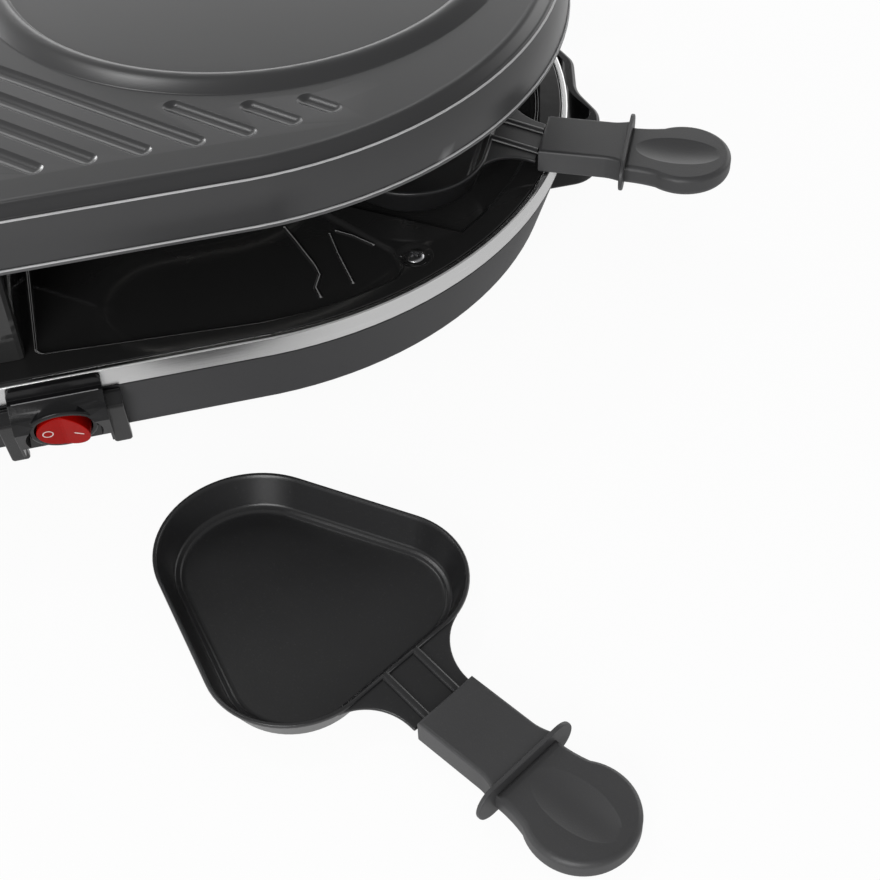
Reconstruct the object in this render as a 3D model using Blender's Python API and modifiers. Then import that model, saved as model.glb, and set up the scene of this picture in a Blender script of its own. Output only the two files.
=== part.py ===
# Raclette grill: an oval base with an enamel tray, a heating element under a lift-off grill plate,
# eight pans that slide in between them, two side handles and a rocker switch.
# Metres, +Z up, the table at zero height, the switch side towards -Y.

import math

import bmesh
import bpy
from mathutils import Matrix, Vector

MM = 0.001
DEGREE = math.pi / 180
QUARTER = math.pi / 2
SMOOTH_ANGLE = 30 * DEGREE
MERGE_DISTANCE = 0.01 * MM

# The oval: two half rounds of the band's radius about points this far to either side of the
# middle. The plate, the tray, the pans and their places all take their size from this radius.
STRAIGHT_HALF = 87.7 * MM
BAND_RADIUS = 148.0 * MM
ROUND_STEPS = 40
CORNER_ROUND_STEPS = 4
SEAT_GAP = 0.3 * MM
OVERRUN = 5.0 * MM

# Base shell, a tapering wall with a flange at the bottom and an upstand at the top.
SHELL_BOTTOM = 6.8 * MM
SHELL_SHOULDER = 34.0 * MM
SHELL_SET_IN = 0.1 * MM
SHELL_TAPER = 8.6 * MM
SHELL_WALL = 2.5 * MM
SHELL_EDGE = 0.9 * MM
FLANGE_WIDTH = 9.3 * MM
FLANGE_THICKNESS = 2.0 * MM
UPSTAND_WALL = 2.6 * MM
BOSS_RADIUS = 4.6 * MM

# Trim band round the shoulder of the shell.
BAND_WALL = 2.5 * MM
BAND_TOP = 42.5 * MM
BAND_ROUND = 0.7 * MM

# Bottom plate and rubber pads.
BASE_PLATE_LEDGE = 3.3 * MM
BASE_PLATE_THICKNESS = 1.5 * MM
PAD_RADIUS = 8.0 * MM
PAD_EDGE = 0.8 * MM
PAD_ACROSS_SHARE = 0.2858
PAD_ALONG_SHARE = 0.5135
PAD_STEPS = 12

# Enamel tray: a rim ledge, and a sunken floor between ribs.
TRAY_DROP = 0.2 * MM
TRAY_THICKNESS = 2.8 * MM
TRAY_EDGE = 0.3 * MM
TRAY_RECESS = 1.5 * MM
RECESS_DRAFT = 1.1 * MM
RECESS_RIM = 5.7 * MM
RECESS_BRIDGE_RIM = 10.6 * MM
RECESS_BRIDGE_CLEARANCE = 2.2 * MM
RECESS_STRAIGHT_ANGLE = -78.0 * DEGREE
RECESS_CORNER_ANGLE = -66.0 * DEGREE
RECESS_SPINE = 14.0 * MM
RECESS_ROUND = 9.0 * MM
END_RECESS_RIM = 8.2 * MM
END_RECESS_ANGLE = 54.0 * DEGREE
END_RECESS_STEPS = 10
# Corners of the recesses: share of the tray's radius, and angle, about the end of the straight.
RECESS_OUTER_CORNER = (0.859, -63.9 * DEGREE)
RECESS_RIB_CORNER = (0.634, -67.0 * DEGREE)
RECESS_INNER_ALONG_SHARE = 0.278
RECESS_INNER_ACROSS_SHARE = 0.2066
END_RIB_CORNER = (0.6274, 63.7 * DEGREE)
END_INNER_CORNER = (0.2636, 77.0 * DEGREE)
SCREW_ANGLE = 62.8 * DEGREE
SCREW_RIM = 12.4 * MM
SCREW_HEAD_RADIUS = 3.6 * MM
SCREW_HEAD_HEIGHT = 1.7 * MM
SCREW_CROWN_SHARES = ((0.0, 1.0), (0.6, 0.85), (1.0, 0.35), (1.0, 0.0))
SCREW_SHANK_RADIUS = 1.7 * MM
SCREW_LENGTH = 9.0 * MM
DIMPLE_RADIUS = 6.0 * MM
DIMPLE_DEPTH = 1.0 * MM
DIMPLE_DRAFT = 1.6 * MM
TRAY_SLOT_LENGTH = 20.0 * MM
TRAY_SLOT_WIDTH = 8.0 * MM

# Grill plate.
PLATE_TOP = 110.0 * MM
PLATE_DEPTH = 21.0 * MM
PLATE_THICKNESS = 5.0 * MM
PLATE_CREASE_DROP = 3.0 * MM
PLATE_SET_IN = 3.0 * MM
PLATE_FLARE = 2.7 * MM
PLATE_WALL = 3.2 * MM
PLATE_SHOULDER = 4.5 * MM
PLATE_VALLEY = 1.6 * MM
PLATE_CREASE_ROUND = 0.6 * MM
CREPE_OFFSET_SHARE = 0.171
CREPE_RADIUS_SHARE = 0.6115
CREPE_BEAD_WIDTH = 12.6 * MM
CREPE_BEAD_HEIGHT = 2.8 * MM
CREPE_CREST_SHARES = ((0.0, -0.1), (0.14, 0.86), (0.34, 1.0), (0.56, 0.86), (1.0, -0.1))
CREPE_STEPS = 36
GROOVE_PITCH = 17.3 * MM
GROOVE_FIRST = -253.8 * MM
GROOVE_COUNT = 22
GROOVE_WIDTH = 6.2 * MM
GROOVE_DEPTH = 1.5 * MM
GROOVE_DRAFT = 1.1 * MM
GROOVE_EDGE_MARGIN = 19.0 * MM
GROOVE_CREPE_MARGIN = 4.9 * MM
GROOVE_LEAST = 15.5 * MM
GROOVE_ROUND_STEPS = 4
GROOVE_SAMPLES = 1200

# Bridge across the middle, open below, which carries the plate and holds the connections.
BRIDGE_WIDTH = 16.0 * MM
BRIDGE_RIM = 12.6 * MM
BRIDGE_WALL = 1.5 * MM
BRIDGE_ROUND = 2.0 * MM
TERMINAL_LENGTH = 30.0 * MM
TERMINAL_HEIGHT = 12.0 * MM
TERMINAL_LIFT = 8.0 * MM
LEAD_RADIUS = 1.6 * MM
LEAD_SPACING = 12.0 * MM
LEAD_BEND = 10.0 * MM
LEAD_LEVEL = 24.0 * MM
LEAD_BEND_SHARES = (0.0, 0.33, 0.67, 1.0)

# Heating element: one tube on each side, out round the end, back and round again.
ELEMENT_DROP = 30.0 * MM
ELEMENT_RADIUS = 3.25 * MM
ELEMENT_OUTER_SHARE = 0.6757
ELEMENT_INNER_SHARE = 0.2973
ELEMENT_TURN_X = 60.0 * MM
ELEMENT_PIN_X = 3.5 * MM
ELEMENT_OUTER_STEPS = 10
ELEMENT_INNER_STEPS = 6
ELEMENT_TURN_STEPS = 6
NOTCH_STEPS = 6
BRACKET_THICKNESS = 2.0 * MM
BRACKET_FOOT = 22.0 * MM
BRACKET_HEAD = 9.0 * MM
BRACKET_LIP = 2.2 * MM
BRACKET_ARM = 6.0 * MM

# Post under each end of the plate, with an arm that holds the tube.
POST_SET_IN = 8.8 * MM
POST_DEPTH = 5.0 * MM
POST_WIDTH = 14.0 * MM
POST_EDGE = 0.6 * MM

# Side handles.
HANDLE_LOW = 8.0 * MM
HANDLE_ROUND = 3.0 * MM
HANDLE_HALF_WIDTH = 53.0 * MM
HANDLE_REACH = 25.5 * MM
HANDLE_WAIST = 15.5 * MM
HANDLE_CORNER = 15.0 * MM
HANDLE_WAIST_ROUND = 34.0 * MM
HANDLE_BAR = 5.5 * MM
HANDLE_ARM = 10.0 * MM
HANDLE_SLOT_CORNER = 6.0 * MM
HANDLE_ROOT = 60.0 * MM
HANDLE_OUTER_STEPS = 6
HANDLE_INNER_STEPS = 4

# Switch housing on the front, and its two legs.
HOUSING_X = 15.5 * MM
HOUSING_HALF_WIDTH = 16.0 * MM
HOUSING_EDGE = 1.0 * MM
HOUSING_LOW = 15.5 * MM
HOUSING_CLIP_DROP = 0.5 * MM
HOUSING_CLIP_THICKNESS = 2.1 * MM
HOUSING_LEDGE_DROP = 4.4 * MM
HOUSING_LEDGE_DEPTH = 4.0 * MM
HOUSING_BROW_DROP = 8.2 * MM
HOUSING_BROW_DEPTH = 8.6 * MM
HOUSING_BELLY_DROP = 12.4 * MM
HOUSING_CHEEK = 9.8 * MM
ARCH_RADIUS = 13.2 * MM
HOOD_RADIUS = 16.6 * MM
HOOD_STAND = 9.3 * MM
HOOD_ROUND = 1.0 * MM
HOOD_FOOT = 3.5 * MM
LEG_WIDTH = 6.5 * MM
LEG_INNER = 16.0 * MM
LEG_FOOT = 6.6 * MM
LEG_FOOT_ROUND = 1.6 * MM
LEG_KNEE_HEIGHT = 14.0 * MM
LEG_KNEE_DEPTH = 5.4 * MM
LEG_HIP_HEIGHT = 24.5 * MM
LEG_HIP_DEPTH = 7.6 * MM
LEG_HEAD_DEPTH = 3.4 * MM
LEG_HEAD_DROP = 5.0 * MM

# Rocker switch, square to the sloping wall.
SWITCH_LEVEL = 24.0 * MM
SWITCH_STAND = 7.0 * MM
BEZEL_RADIUS = 11.9 * MM
BEZEL_THICKNESS = 1.6 * MM
BEZEL_ROUND = 0.5 * MM
CUP_OUTER_RADIUS = 10.9 * MM
CUP_BASE = 1.0 * MM
BARREL_RADIUS = 9.4 * MM
BARREL_LENGTH = 16.0 * MM
CUP_RADIUS = 9.9 * MM
CUP_DEPTH = 5.2 * MM
ROCKER_RADIUS = 9.2 * MM
ROCKER_VALLEY = 0.9 * MM
ROCKER_BOTTOM = 3.0 * MM
ROCKER_SWING = 20.0 * DEGREE
ROCKER_PIN = 1.2 * MM
SWITCH_STEPS = 22
PIN_STEPS = 8

# Inlet bush for the mains lead, at the back.
INLET_X = -40.0 * MM
INLET_LEVEL = 20.0 * MM
INLET_BORE = 3.2 * MM
INLET_BARREL = 5.4 * MM
INLET_FLANGE = 8.0 * MM
INLET_FLANGE_THICKNESS = 2.0 * MM
INLET_DEPTH = 12.0 * MM
INLET_STEPS = 16

# Raclette pan; its length runs along +X, and zero is where the handle block starts.
PAN_LENGTH_SHARE = 0.8108
NOSE_SHARE = 0.2717
CORNER_SHARE = 0.2383
CORNER_BACK_SHARE = 0.3908
CORNER_SIDE_SHARE = 0.1592
NOSE_STEPS = 7
CORNER_STEPS = 5
PAN_HEIGHT = 12.7 * MM
PAN_WALL_RUN = 5.0 * MM
PAN_FLOOR = 1.5 * MM
PAN_SHEET = 1.2 * MM
PAN_FOOT_ROUND = 0.8 * MM
PAN_RIM = 0.9 * MM
PAN_RIM_HEIGHT = 1.6 * MM
NECK_HALF_WIDTH = 12.2 * MM
NECK_FILLET_SHARE = 0.15
NECK_FILLET_STEPS = 4
NECK_THICKNESS = 1.6 * MM
NECK_ROOT_SHARE = 0.1308
TONGUE_LENGTH = 20.0 * MM
TONGUE_HALF_WIDTH = 8.0 * MM
NECK_DROP = 1.2 * MM
NECK_FALL = 4.4 * MM
RIDGE_SPACING = 13.0 * MM
RIDGE_RADIUS = 1.5 * MM
RIDGE_STEPS = 6

# Pan handle: block, finger guard and dished paddle.
BLOCK_LENGTH = 30.9 * MM
BLOCK_HALF_WIDTH = 11.85 * MM
BLOCK_THICKNESS = 10.0 * MM
BLOCK_LIFT = 1.8 * MM
BLOCK_EDGE = 0.9 * MM
BLOCK_FLARE = 1.8 * MM
BLOCK_FLARE_LENGTH = 6.0 * MM
GUARD_THICKNESS = 2.6 * MM
GUARD_HALF_WIDTH = 20.3 * MM
GUARD_HEIGHT = 15.6 * MM
GUARD_LIFT = 0.4 * MM
GUARD_EDGE = 0.5 * MM
GUARD_ROUND_STEPS = 4
PADDLE_X = 53.9 * MM
PADDLE_RADIUS = 17.8 * MM
PADDLE_ROOT_HALF_WIDTH = 13.4 * MM
PADDLE_TANGENT = 122.0 * DEGREE
PADDLE_STEPS = 10
PADDLE_LIFT = 1.4 * MM
PADDLE_THICKNESS = 8.0 * MM
PADDLE_EDGE_SHARES = ((0.14, 0.0), (0.0, 0.3), (0.02, 0.78), (0.13, 1.0))
DISH_RADIUS = 52.0 * MM
DISH_DEPTH = 2.2 * MM
DISH_SHARES = (1.15, 0.88, 1.0)
DISH_STEPS = 11

# Places of the pans: where the handle block starts, and the direction it points in.
SIDE_PLACE_GAP = 6.3 * MM
SIDE_PLACE_RIM = 6.0 * MM
END_PLACE_RIM = 5.6 * MM
END_PLACE_ANGLE = 30.83 * DEGREE
END_PLACE_TURN = 26.0 * DEGREE
LOOSE_PLACE_X = 116.3 * MM
LOOSE_PLACE_GAP = 138.6 * MM
LOOSE_TURN = -58.0 * DEGREE

# Levels and radii that follow from the sizes above.
SHELL_TOP_RADIUS = BAND_RADIUS - SHELL_SET_IN
SHELL_BOTTOM_RADIUS = SHELL_TOP_RADIUS - SHELL_TAPER
BASE_PLATE_RADIUS = SHELL_BOTTOM_RADIUS - BASE_PLATE_LEDGE
PAD_X = STRAIGHT_HALF + BAND_RADIUS * PAD_ACROSS_SHARE
PAD_Y = BAND_RADIUS * PAD_ALONG_SHARE
TRAY_TOP = BAND_TOP - TRAY_DROP
TRAY_UNDERSIDE = TRAY_TOP - TRAY_THICKNESS
TRAY_FLOOR = TRAY_TOP - TRAY_RECESS
TRAY_RADIUS = BAND_RADIUS - BAND_WALL - SEAT_GAP
RECESS_RADIUS = TRAY_RADIUS - RECESS_RIM
END_RECESS_RADIUS = TRAY_RADIUS - END_RECESS_RIM
SCREW_ORBIT = TRAY_RADIUS - SCREW_RIM
BASE_PLATE_TOP = SHELL_BOTTOM - SEAT_GAP
PAD_HEIGHT = BASE_PLATE_TOP - BASE_PLATE_THICKNESS - SEAT_GAP
PLATE_UNDERSIDE = PLATE_TOP - PLATE_THICKNESS
PLATE_BOTTOM = PLATE_TOP - PLATE_DEPTH
PLATE_CREASE = PLATE_TOP - PLATE_CREASE_DROP
ELEMENT_LEVEL = PLATE_TOP - ELEMENT_DROP
PLATE_CREASE_RADIUS = BAND_RADIUS - PLATE_SET_IN
CREPE_X = STRAIGHT_HALF + BAND_RADIUS * CREPE_OFFSET_SHARE
CREPE_RADIUS = BAND_RADIUS * CREPE_RADIUS_SHARE
GROOVE_EDGE_RADIUS = PLATE_CREASE_RADIUS - GROOVE_EDGE_MARGIN
GROOVE_CREPE_RADIUS = CREPE_RADIUS + CREPE_BEAD_WIDTH + GROOVE_CREPE_MARGIN
CARRIER_TOP = PLATE_UNDERSIDE - SEAT_GAP
BRIDGE_HALF_WIDTH = BRIDGE_WIDTH / 2
BRIDGE_HALF_LENGTH = BAND_RADIUS - BRIDGE_RIM
POST_DISTANCE = PLATE_CREASE_RADIUS - POST_SET_IN
ELEMENT_OUTER_RUN = BAND_RADIUS * ELEMENT_OUTER_SHARE
ELEMENT_INNER_RUN = BAND_RADIUS * ELEMENT_INNER_SHARE
TERMINAL_Y = (ELEMENT_OUTER_RUN + ELEMENT_INNER_RUN) / 2
TERMINAL_LOW = ELEMENT_LEVEL - TERMINAL_LIFT
ELEMENT_TURN_RADIUS = (ELEMENT_OUTER_RUN - ELEMENT_INNER_RUN) / 2
ELEMENT_NOTCH = ELEMENT_RADIUS + SEAT_GAP
WALL_TILT = math.atan((SHELL_TOP_RADIUS - SHELL_BOTTOM_RADIUS) / (SHELL_SHOULDER - SHELL_BOTTOM))
PAN_LENGTH = BAND_RADIUS * PAN_LENGTH_SHARE
NOSE_RADIUS = PAN_LENGTH * NOSE_SHARE
NOSE_X = NOSE_RADIUS - PAN_LENGTH
CORNER_RADIUS = PAN_LENGTH * CORNER_SHARE
CORNER_X = -PAN_LENGTH * CORNER_BACK_SHARE
CORNER_Y = PAN_LENGTH * CORNER_SIDE_SHARE
NECK_FILLET = PAN_LENGTH * NECK_FILLET_SHARE
NECK_START = CORNER_X + CORNER_RADIUS - PAN_LENGTH * NECK_ROOT_SHARE
PAN_IN_PLACE = TRAY_FLOOR + SEAT_GAP
SIDE_PLACE_X = BRIDGE_HALF_WIDTH + SIDE_PLACE_GAP + CORNER_Y + CORNER_RADIUS
SIDE_PLACE_Y = BAND_RADIUS - SIDE_PLACE_RIM
END_PLACE_REACH = BAND_RADIUS - END_PLACE_RIM
END_PLACE_X = STRAIGHT_HALF + END_PLACE_REACH * math.cos(END_PLACE_ANGLE)
END_PLACE_Y = END_PLACE_REACH * math.sin(END_PLACE_ANGLE)
LOOSE_PLACE_Y = -BAND_RADIUS - LOOSE_PLACE_GAP
LOOSE_REACH = PADDLE_X * math.sin(LOOSE_TURN) - PADDLE_RADIUS
SET_FRONT = LOOSE_PLACE_Y + LOOSE_REACH
SET_BACK = SIDE_PLACE_Y + PADDLE_X + PADDLE_RADIUS
SET_SHIFT = -(SET_FRONT + SET_BACK) / 2


def clear_scene():
    for item in list(bpy.data.objects):
        bpy.data.objects.remove(item, do_unlink=True)


def material(name, colour, roughness, metallic):
    finish = bpy.data.materials.new(name)
    finish.use_nodes = True
    shader = finish.node_tree.nodes["Principled BSDF"]
    shader.inputs["Base Color"].default_value = (*colour, 1)
    shader.inputs["Roughness"].default_value = roughness
    shader.inputs["Metallic"].default_value = metallic
    finish.diffuse_color = (*colour, 1)
    return finish


def make_materials():
    return {
        "plate": material("non-stick plate", (0.11, 0.11, 0.115), 0.45, 0.4),
        "pan": material("non-stick pan", (0.05, 0.05, 0.052), 0.4, 0.4),
        "shell": material("dark grey plastic", (0.07, 0.07, 0.072), 0.5, 0.2),
        "band": material("bright steel", (0.72, 0.72, 0.72), 0.25, 1.0),
        "enamel": material("black enamel", (0.008, 0.008, 0.009), 0.08, 0.0),
        "steel": material("zinc plated steel", (0.55, 0.55, 0.56), 0.35, 1.0),
        "element": material("element tube", (0.16, 0.15, 0.15), 0.5, 0.8),
        "black": material("black plastic", (0.02, 0.02, 0.021), 0.3, 0.0),
        "grey": material("grey handle plastic", (0.06, 0.06, 0.062), 0.5, 0.0),
        "red": material("red rocker", (0.5, 0.01, 0.01), 0.25, 0.0),
        "rubber": material("black rubber", (0.015, 0.015, 0.015), 0.8, 0.0),
        "ceramic": material("white ceramic", (0.75, 0.73, 0.68), 0.6, 0.0),
        "sleeve": material("lead sleeve", (0.3, 0.3, 0.3), 0.7, 0.0),
    }


# Outlines are lists of flat points, counter-clockwise. An outline function takes an inset
# and gives the outline drawn in by that much.

def arc(centre_x, centre_y, radius, start, end, steps):
    points = []
    for step in range(steps + 1):
        angle = start + (end - start) * step / steps
        points.append(Vector((centre_x + radius * math.cos(angle), centre_y + radius * math.sin(angle))))
    return points


def oval(radius):
    points = []
    for step in range(ROUND_STEPS):
        angle = (step + 0.5) * 2 * math.pi / ROUND_STEPS
        side = math.copysign(STRAIGHT_HALF, math.cos(angle))
        points.append(Vector((side + radius * math.cos(angle), radius * math.sin(angle))))
    return points


def oval_outline(radius):
    return lambda inset: oval(radius - inset)


def inset_outline(points):
    def drawn_in(inset):
        ring = []
        for before, here, after in zip(points[-1:] + points[:-1], points, points[1:] + points[:1]):
            coming = (here - before).normalized()
            going = (after - here).normalized()
            along = (coming + going).normalized()
            inward = Vector((-along.y, along.x))
            ring.append(here + inward * inset / inward.dot(Vector((-coming.y, coming.x))))
        return ring
    return drawn_in


def rounded(corners, steps=CORNER_ROUND_STEPS):
    points = []
    for number, (x, y, radius) in enumerate(corners):
        here = Vector((x, y))
        if radius == 0:
            points.append(here)
            continue
        back = (Vector(corners[number - 1][:2]) - here).normalized()
        ahead = (Vector(corners[(number + 1) % len(corners)][:2]) - here).normalized()
        half = back.angle(ahead) / 2
        centre = here + (back + ahead).normalized() * radius / math.sin(half)
        spoke = here + back * radius / math.tan(half) - centre
        turn = math.copysign(math.pi - 2 * half, ahead.x * back.y - ahead.y * back.x)
        start = math.atan2(spoke.y, spoke.x)
        points.extend(arc(centre.x, centre.y, radius, start, start + turn, steps))
    return points


def link(name, mesh):
    item = bpy.data.objects.new(name, mesh)
    bpy.context.scene.collection.objects.link(item)
    return item


def tidy_normals(shape):
    bmesh.ops.recalc_face_normals(shape, faces=shape.faces[:])


def stacked(name, outline, levels, matrix=Matrix.Identity(4)):
    # A closed solid: the outline is drawn at each (inset, height) and joined to the one before.
    shape = bmesh.new()
    inset, height = levels[0]
    corners = [shape.verts.new((point.x, point.y, height)) for point in outline(inset)]
    face = shape.faces.new(corners)
    for number, (inset, height) in enumerate(levels[1:]):
        made = bmesh.ops.extrude_face_region(shape, geom=[face])
        if number > 0:
            bmesh.ops.delete(shape, geom=[face], context="FACES_ONLY")
        face = next(item for item in made["geom"] if isinstance(item, bmesh.types.BMFace))
        for corner, point in zip(face.verts, outline(inset)):
            corner.co = (point.x, point.y, height)
    bmesh.ops.transform(shape, matrix=matrix, verts=shape.verts[:])
    tidy_normals(shape)
    mesh = bpy.data.meshes.new(name)
    shape.to_mesh(mesh)
    shape.free()
    return link(name, mesh)


def round_bar(name, radius, depth, steps, matrix):
    shape = bmesh.new()
    bmesh.ops.create_cone(shape, cap_ends=True, segments=steps, radius1=radius, radius2=radius,
                          depth=depth, matrix=matrix)
    mesh = bpy.data.meshes.new(name)
    shape.to_mesh(mesh)
    shape.free()
    return link(name, mesh)


def baked(item):
    # The object keeps the shape that its modifiers give, as a plain mesh.
    evaluated = item.evaluated_get(bpy.context.evaluated_depsgraph_get())
    mesh = bpy.data.meshes.new_from_object(evaluated)
    if item.type != "MESH":
        plain = link(item.name + "_mesh", mesh)
        plain.matrix_world = item.matrix_world
        name = item.name
        bpy.data.objects.remove(item, do_unlink=True)
        plain.name = name
        return plain
    item.modifiers.clear()
    item.data = mesh
    return item


def turned(name, profile, closed, steps, start=0.0):
    # The profile, (radius, height) points, is turned about Z from the start angle.
    points = [(radius * math.cos(start), radius * math.sin(start), height) for radius, height in profile]
    edges = [(number, number + 1) for number in range(len(points) - 1)]
    if closed:
        edges.append((len(points) - 1, 0))
    mesh = bpy.data.meshes.new(name)
    mesh.from_pydata(points, edges, [])
    item = link(name, mesh)
    screw = item.modifiers.new("turn", "SCREW")
    screw.axis = "Z"
    screw.steps = steps
    screw.render_steps = steps
    screw.use_merge_vertices = True
    screw.merge_threshold = MERGE_DISTANCE
    item = baked(item)
    shape = bmesh.new()
    shape.from_mesh(item.data)
    tidy_normals(shape)
    shape.to_mesh(item.data)
    shape.free()
    return item


def oval_ring(name, profile):
    # A turned ring whose halves are pulled apart by the straight sides.
    item = turned(name, profile, True, ROUND_STEPS, math.pi / ROUND_STEPS)
    for corner in item.data.vertices:
        corner.co.x += math.copysign(STRAIGHT_HALF, corner.co.x)
    return item


def combined(item, tool, operation):
    cut = item.modifiers.new(operation.lower(), "BOOLEAN")
    cut.operation = operation
    cut.solver = "EXACT"
    cut.object = tool
    tool.hide_render = True
    tool.display_type = "WIRE"
    item = baked(item)
    bpy.data.objects.remove(tool, do_unlink=True)
    return item


def cut_by(item, tool):
    return combined(item, tool, "DIFFERENCE")


def joined(item, tool):
    return combined(item, tool, "UNION")


def tube(name, points, radius):
    curve = bpy.data.curves.new(name, "CURVE")
    curve.dimensions = "3D"
    curve.bevel_depth = radius
    curve.bevel_resolution = 1
    curve.use_fill_caps = True
    spline = curve.splines.new("POLY")
    spline.points.add(len(points) - 1)
    for knot, point in zip(spline.points, points):
        knot.co = (*point, 1)
    item = baked(link(name, curve))
    shape = bmesh.new()
    shape.from_mesh(item.data)
    bmesh.ops.remove_doubles(shape, verts=shape.verts[:], dist=MERGE_DISTANCE)
    tidy_normals(shape)
    shape.to_mesh(item.data)
    shape.free()
    return item


def mirrored(mesh, matrix):
    # A mirrored copy of a mesh with its faces turned outward again.
    shape = bmesh.new()
    shape.from_mesh(mesh)
    bmesh.ops.transform(shape, matrix=matrix, verts=shape.verts[:])
    tidy_normals(shape)
    copy = bpy.data.meshes.new(mesh.name)
    shape.to_mesh(copy)
    shape.free()
    return copy


FLIP_X = Matrix.Scale(-1, 4, (1, 0, 0))
FLIP_Y = Matrix.Scale(-1, 4, (0, 1, 0))


class Assembly:
    # Puts finished pieces in the object's collection, under the grill's empty, with their material.

    def __init__(self, name):
        self.collection = bpy.data.collections.new(name)
        bpy.context.scene.collection.children.link(self.collection)
        self.finishes = make_materials()
        self.root = self.empty(name, None, (0, SET_SHIFT, 0), (0, 0, 0))

    def empty(self, name, parent, location, rotation):
        item = bpy.data.objects.new(name, None)
        self.collection.objects.link(item)
        item.parent = parent
        item.location = location
        item.rotation_euler = rotation
        return item

    def add(self, item, finish, parent=None, location=(0, 0, 0), rotation=(0, 0, 0)):
        for collection in list(item.users_collection):
            collection.objects.unlink(item)
        self.collection.objects.link(item)
        if not item.data.materials:
            item.data.materials.append(None)
        item.data.materials[0] = self.finishes[finish]
        item.data.shade_smooth()
        item.data.set_sharp_from_angle(angle=SMOOTH_ANGLE)
        item.parent = parent or self.root
        item.location = location
        item.rotation_euler = rotation
        return item


def shell_radius(height):
    share = (height - SHELL_BOTTOM) / (SHELL_SHOULDER - SHELL_BOTTOM)
    return SHELL_BOTTOM_RADIUS + (SHELL_TOP_RADIUS - SHELL_BOTTOM_RADIUS) * share


def wall_matrix(x, height, stand, side=-1):
    # A frame on the outside of the wall: X along the wall, Y up its slope, Z outward.
    turn = Matrix.Rotation(0 if side < 0 else math.pi, 4, "Z")
    wall = turn @ Matrix.Rotation(QUARTER + WALL_TILT, 4, "X")
    outward = wall @ Vector((0, 0, 1))
    place = Vector((x, side * shell_radius(height), height)) + outward * stand
    return Matrix.Translation(place) @ wall


def screw_places():
    across = STRAIGHT_HALF + SCREW_ORBIT * math.cos(SCREW_ANGLE)
    along = SCREW_ORBIT * math.sin(SCREW_ANGLE)
    return [(side * across, end * along) for end in (-1, 1) for side in (-1, 1)]


def make_shell():
    inner_low = SHELL_BOTTOM + FLANGE_THICKNESS
    upstand = TRAY_RADIUS
    upstand_inner = upstand - UPSTAND_WALL
    upstand_top = TRAY_UNDERSIDE - SEAT_GAP
    profile = [
        (upstand, upstand_top),
        (upstand, SHELL_SHOULDER),
        (SHELL_TOP_RADIUS, SHELL_SHOULDER),
        (shell_radius(SHELL_BOTTOM + SHELL_EDGE), SHELL_BOTTOM + SHELL_EDGE),
        (SHELL_BOTTOM_RADIUS - SHELL_EDGE, SHELL_BOTTOM),
        (SHELL_BOTTOM_RADIUS - FLANGE_WIDTH, SHELL_BOTTOM),
        (SHELL_BOTTOM_RADIUS - FLANGE_WIDTH, inner_low),
        (shell_radius(inner_low) - SHELL_WALL, inner_low),
        (upstand_inner, SHELL_SHOULDER - UPSTAND_WALL),
        (upstand_inner, upstand_top),
    ]
    shell = oval_ring("base_shell", profile)
    boss_low = SHELL_BOTTOM + FLANGE_THICKNESS / 2
    for x, y in screw_places():
        place = Matrix.Translation((x, y, (boss_low + upstand_top) / 2))
        shell = joined(shell, round_bar("boss", BOSS_RADIUS, upstand_top - boss_low, PIN_STEPS, place))
    for x, y in screw_places():
        place = Matrix.Translation((x, y, upstand_top))
        bore = SCREW_SHANK_RADIUS + SEAT_GAP
        shell = cut_by(shell, round_bar("pilot", bore, 2 * SCREW_LENGTH, PIN_STEPS, place))
    switch_hole = round_bar("switch_hole", BARREL_RADIUS + SEAT_GAP, 2 * BARREL_LENGTH, SWITCH_STEPS,
                            wall_matrix(HOUSING_X, SWITCH_LEVEL, 0))
    shell = cut_by(shell, switch_hole)
    inlet_hole = round_bar("inlet_hole", INLET_BARREL + SEAT_GAP, 2 * INLET_DEPTH, INLET_STEPS,
                           wall_matrix(INLET_X, INLET_LEVEL, 0, 1))
    return cut_by(shell, inlet_hole)


def make_band():
    inner = BAND_RADIUS - BAND_WALL
    bottom = SHELL_SHOULDER + SEAT_GAP
    profile = [
        (BAND_RADIUS - BAND_ROUND, BAND_TOP),
        (BAND_RADIUS - BAND_ROUND / 3, BAND_TOP - BAND_ROUND / 3),
        (BAND_RADIUS, BAND_TOP - BAND_ROUND),
        (BAND_RADIUS, bottom),
        (inner, bottom),
        (inner, BAND_TOP - BAND_ROUND),
        (inner + BAND_ROUND / 2, BAND_TOP),
    ]
    return oval_ring("trim_band", profile)


def make_base_plate():
    outline = oval_outline(BASE_PLATE_RADIUS)
    return stacked("base_plate", outline, [(0, BASE_PLATE_TOP - BASE_PLATE_THICKNESS), (0, BASE_PLATE_TOP)])


def make_pad(name):
    outline = lambda inset: arc(0, 0, PAD_RADIUS - inset, 0, 2 * math.pi, PAD_STEPS)[:-1]
    return stacked(name, outline, [(PAD_EDGE, 0), (0, PAD_EDGE), (0, PAD_HEIGHT)])


def sunk(top, depth, draft):
    # Levels of a cutter with sloping sides, which passes the surface it cuts.
    return [(draft, top - depth), (-draft, top + depth)]


def spoke(reach, angle):
    # A point at this distance and angle from the end of the straight.
    return STRAIGHT_HALF + reach * math.cos(angle), reach * math.sin(angle)


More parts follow.
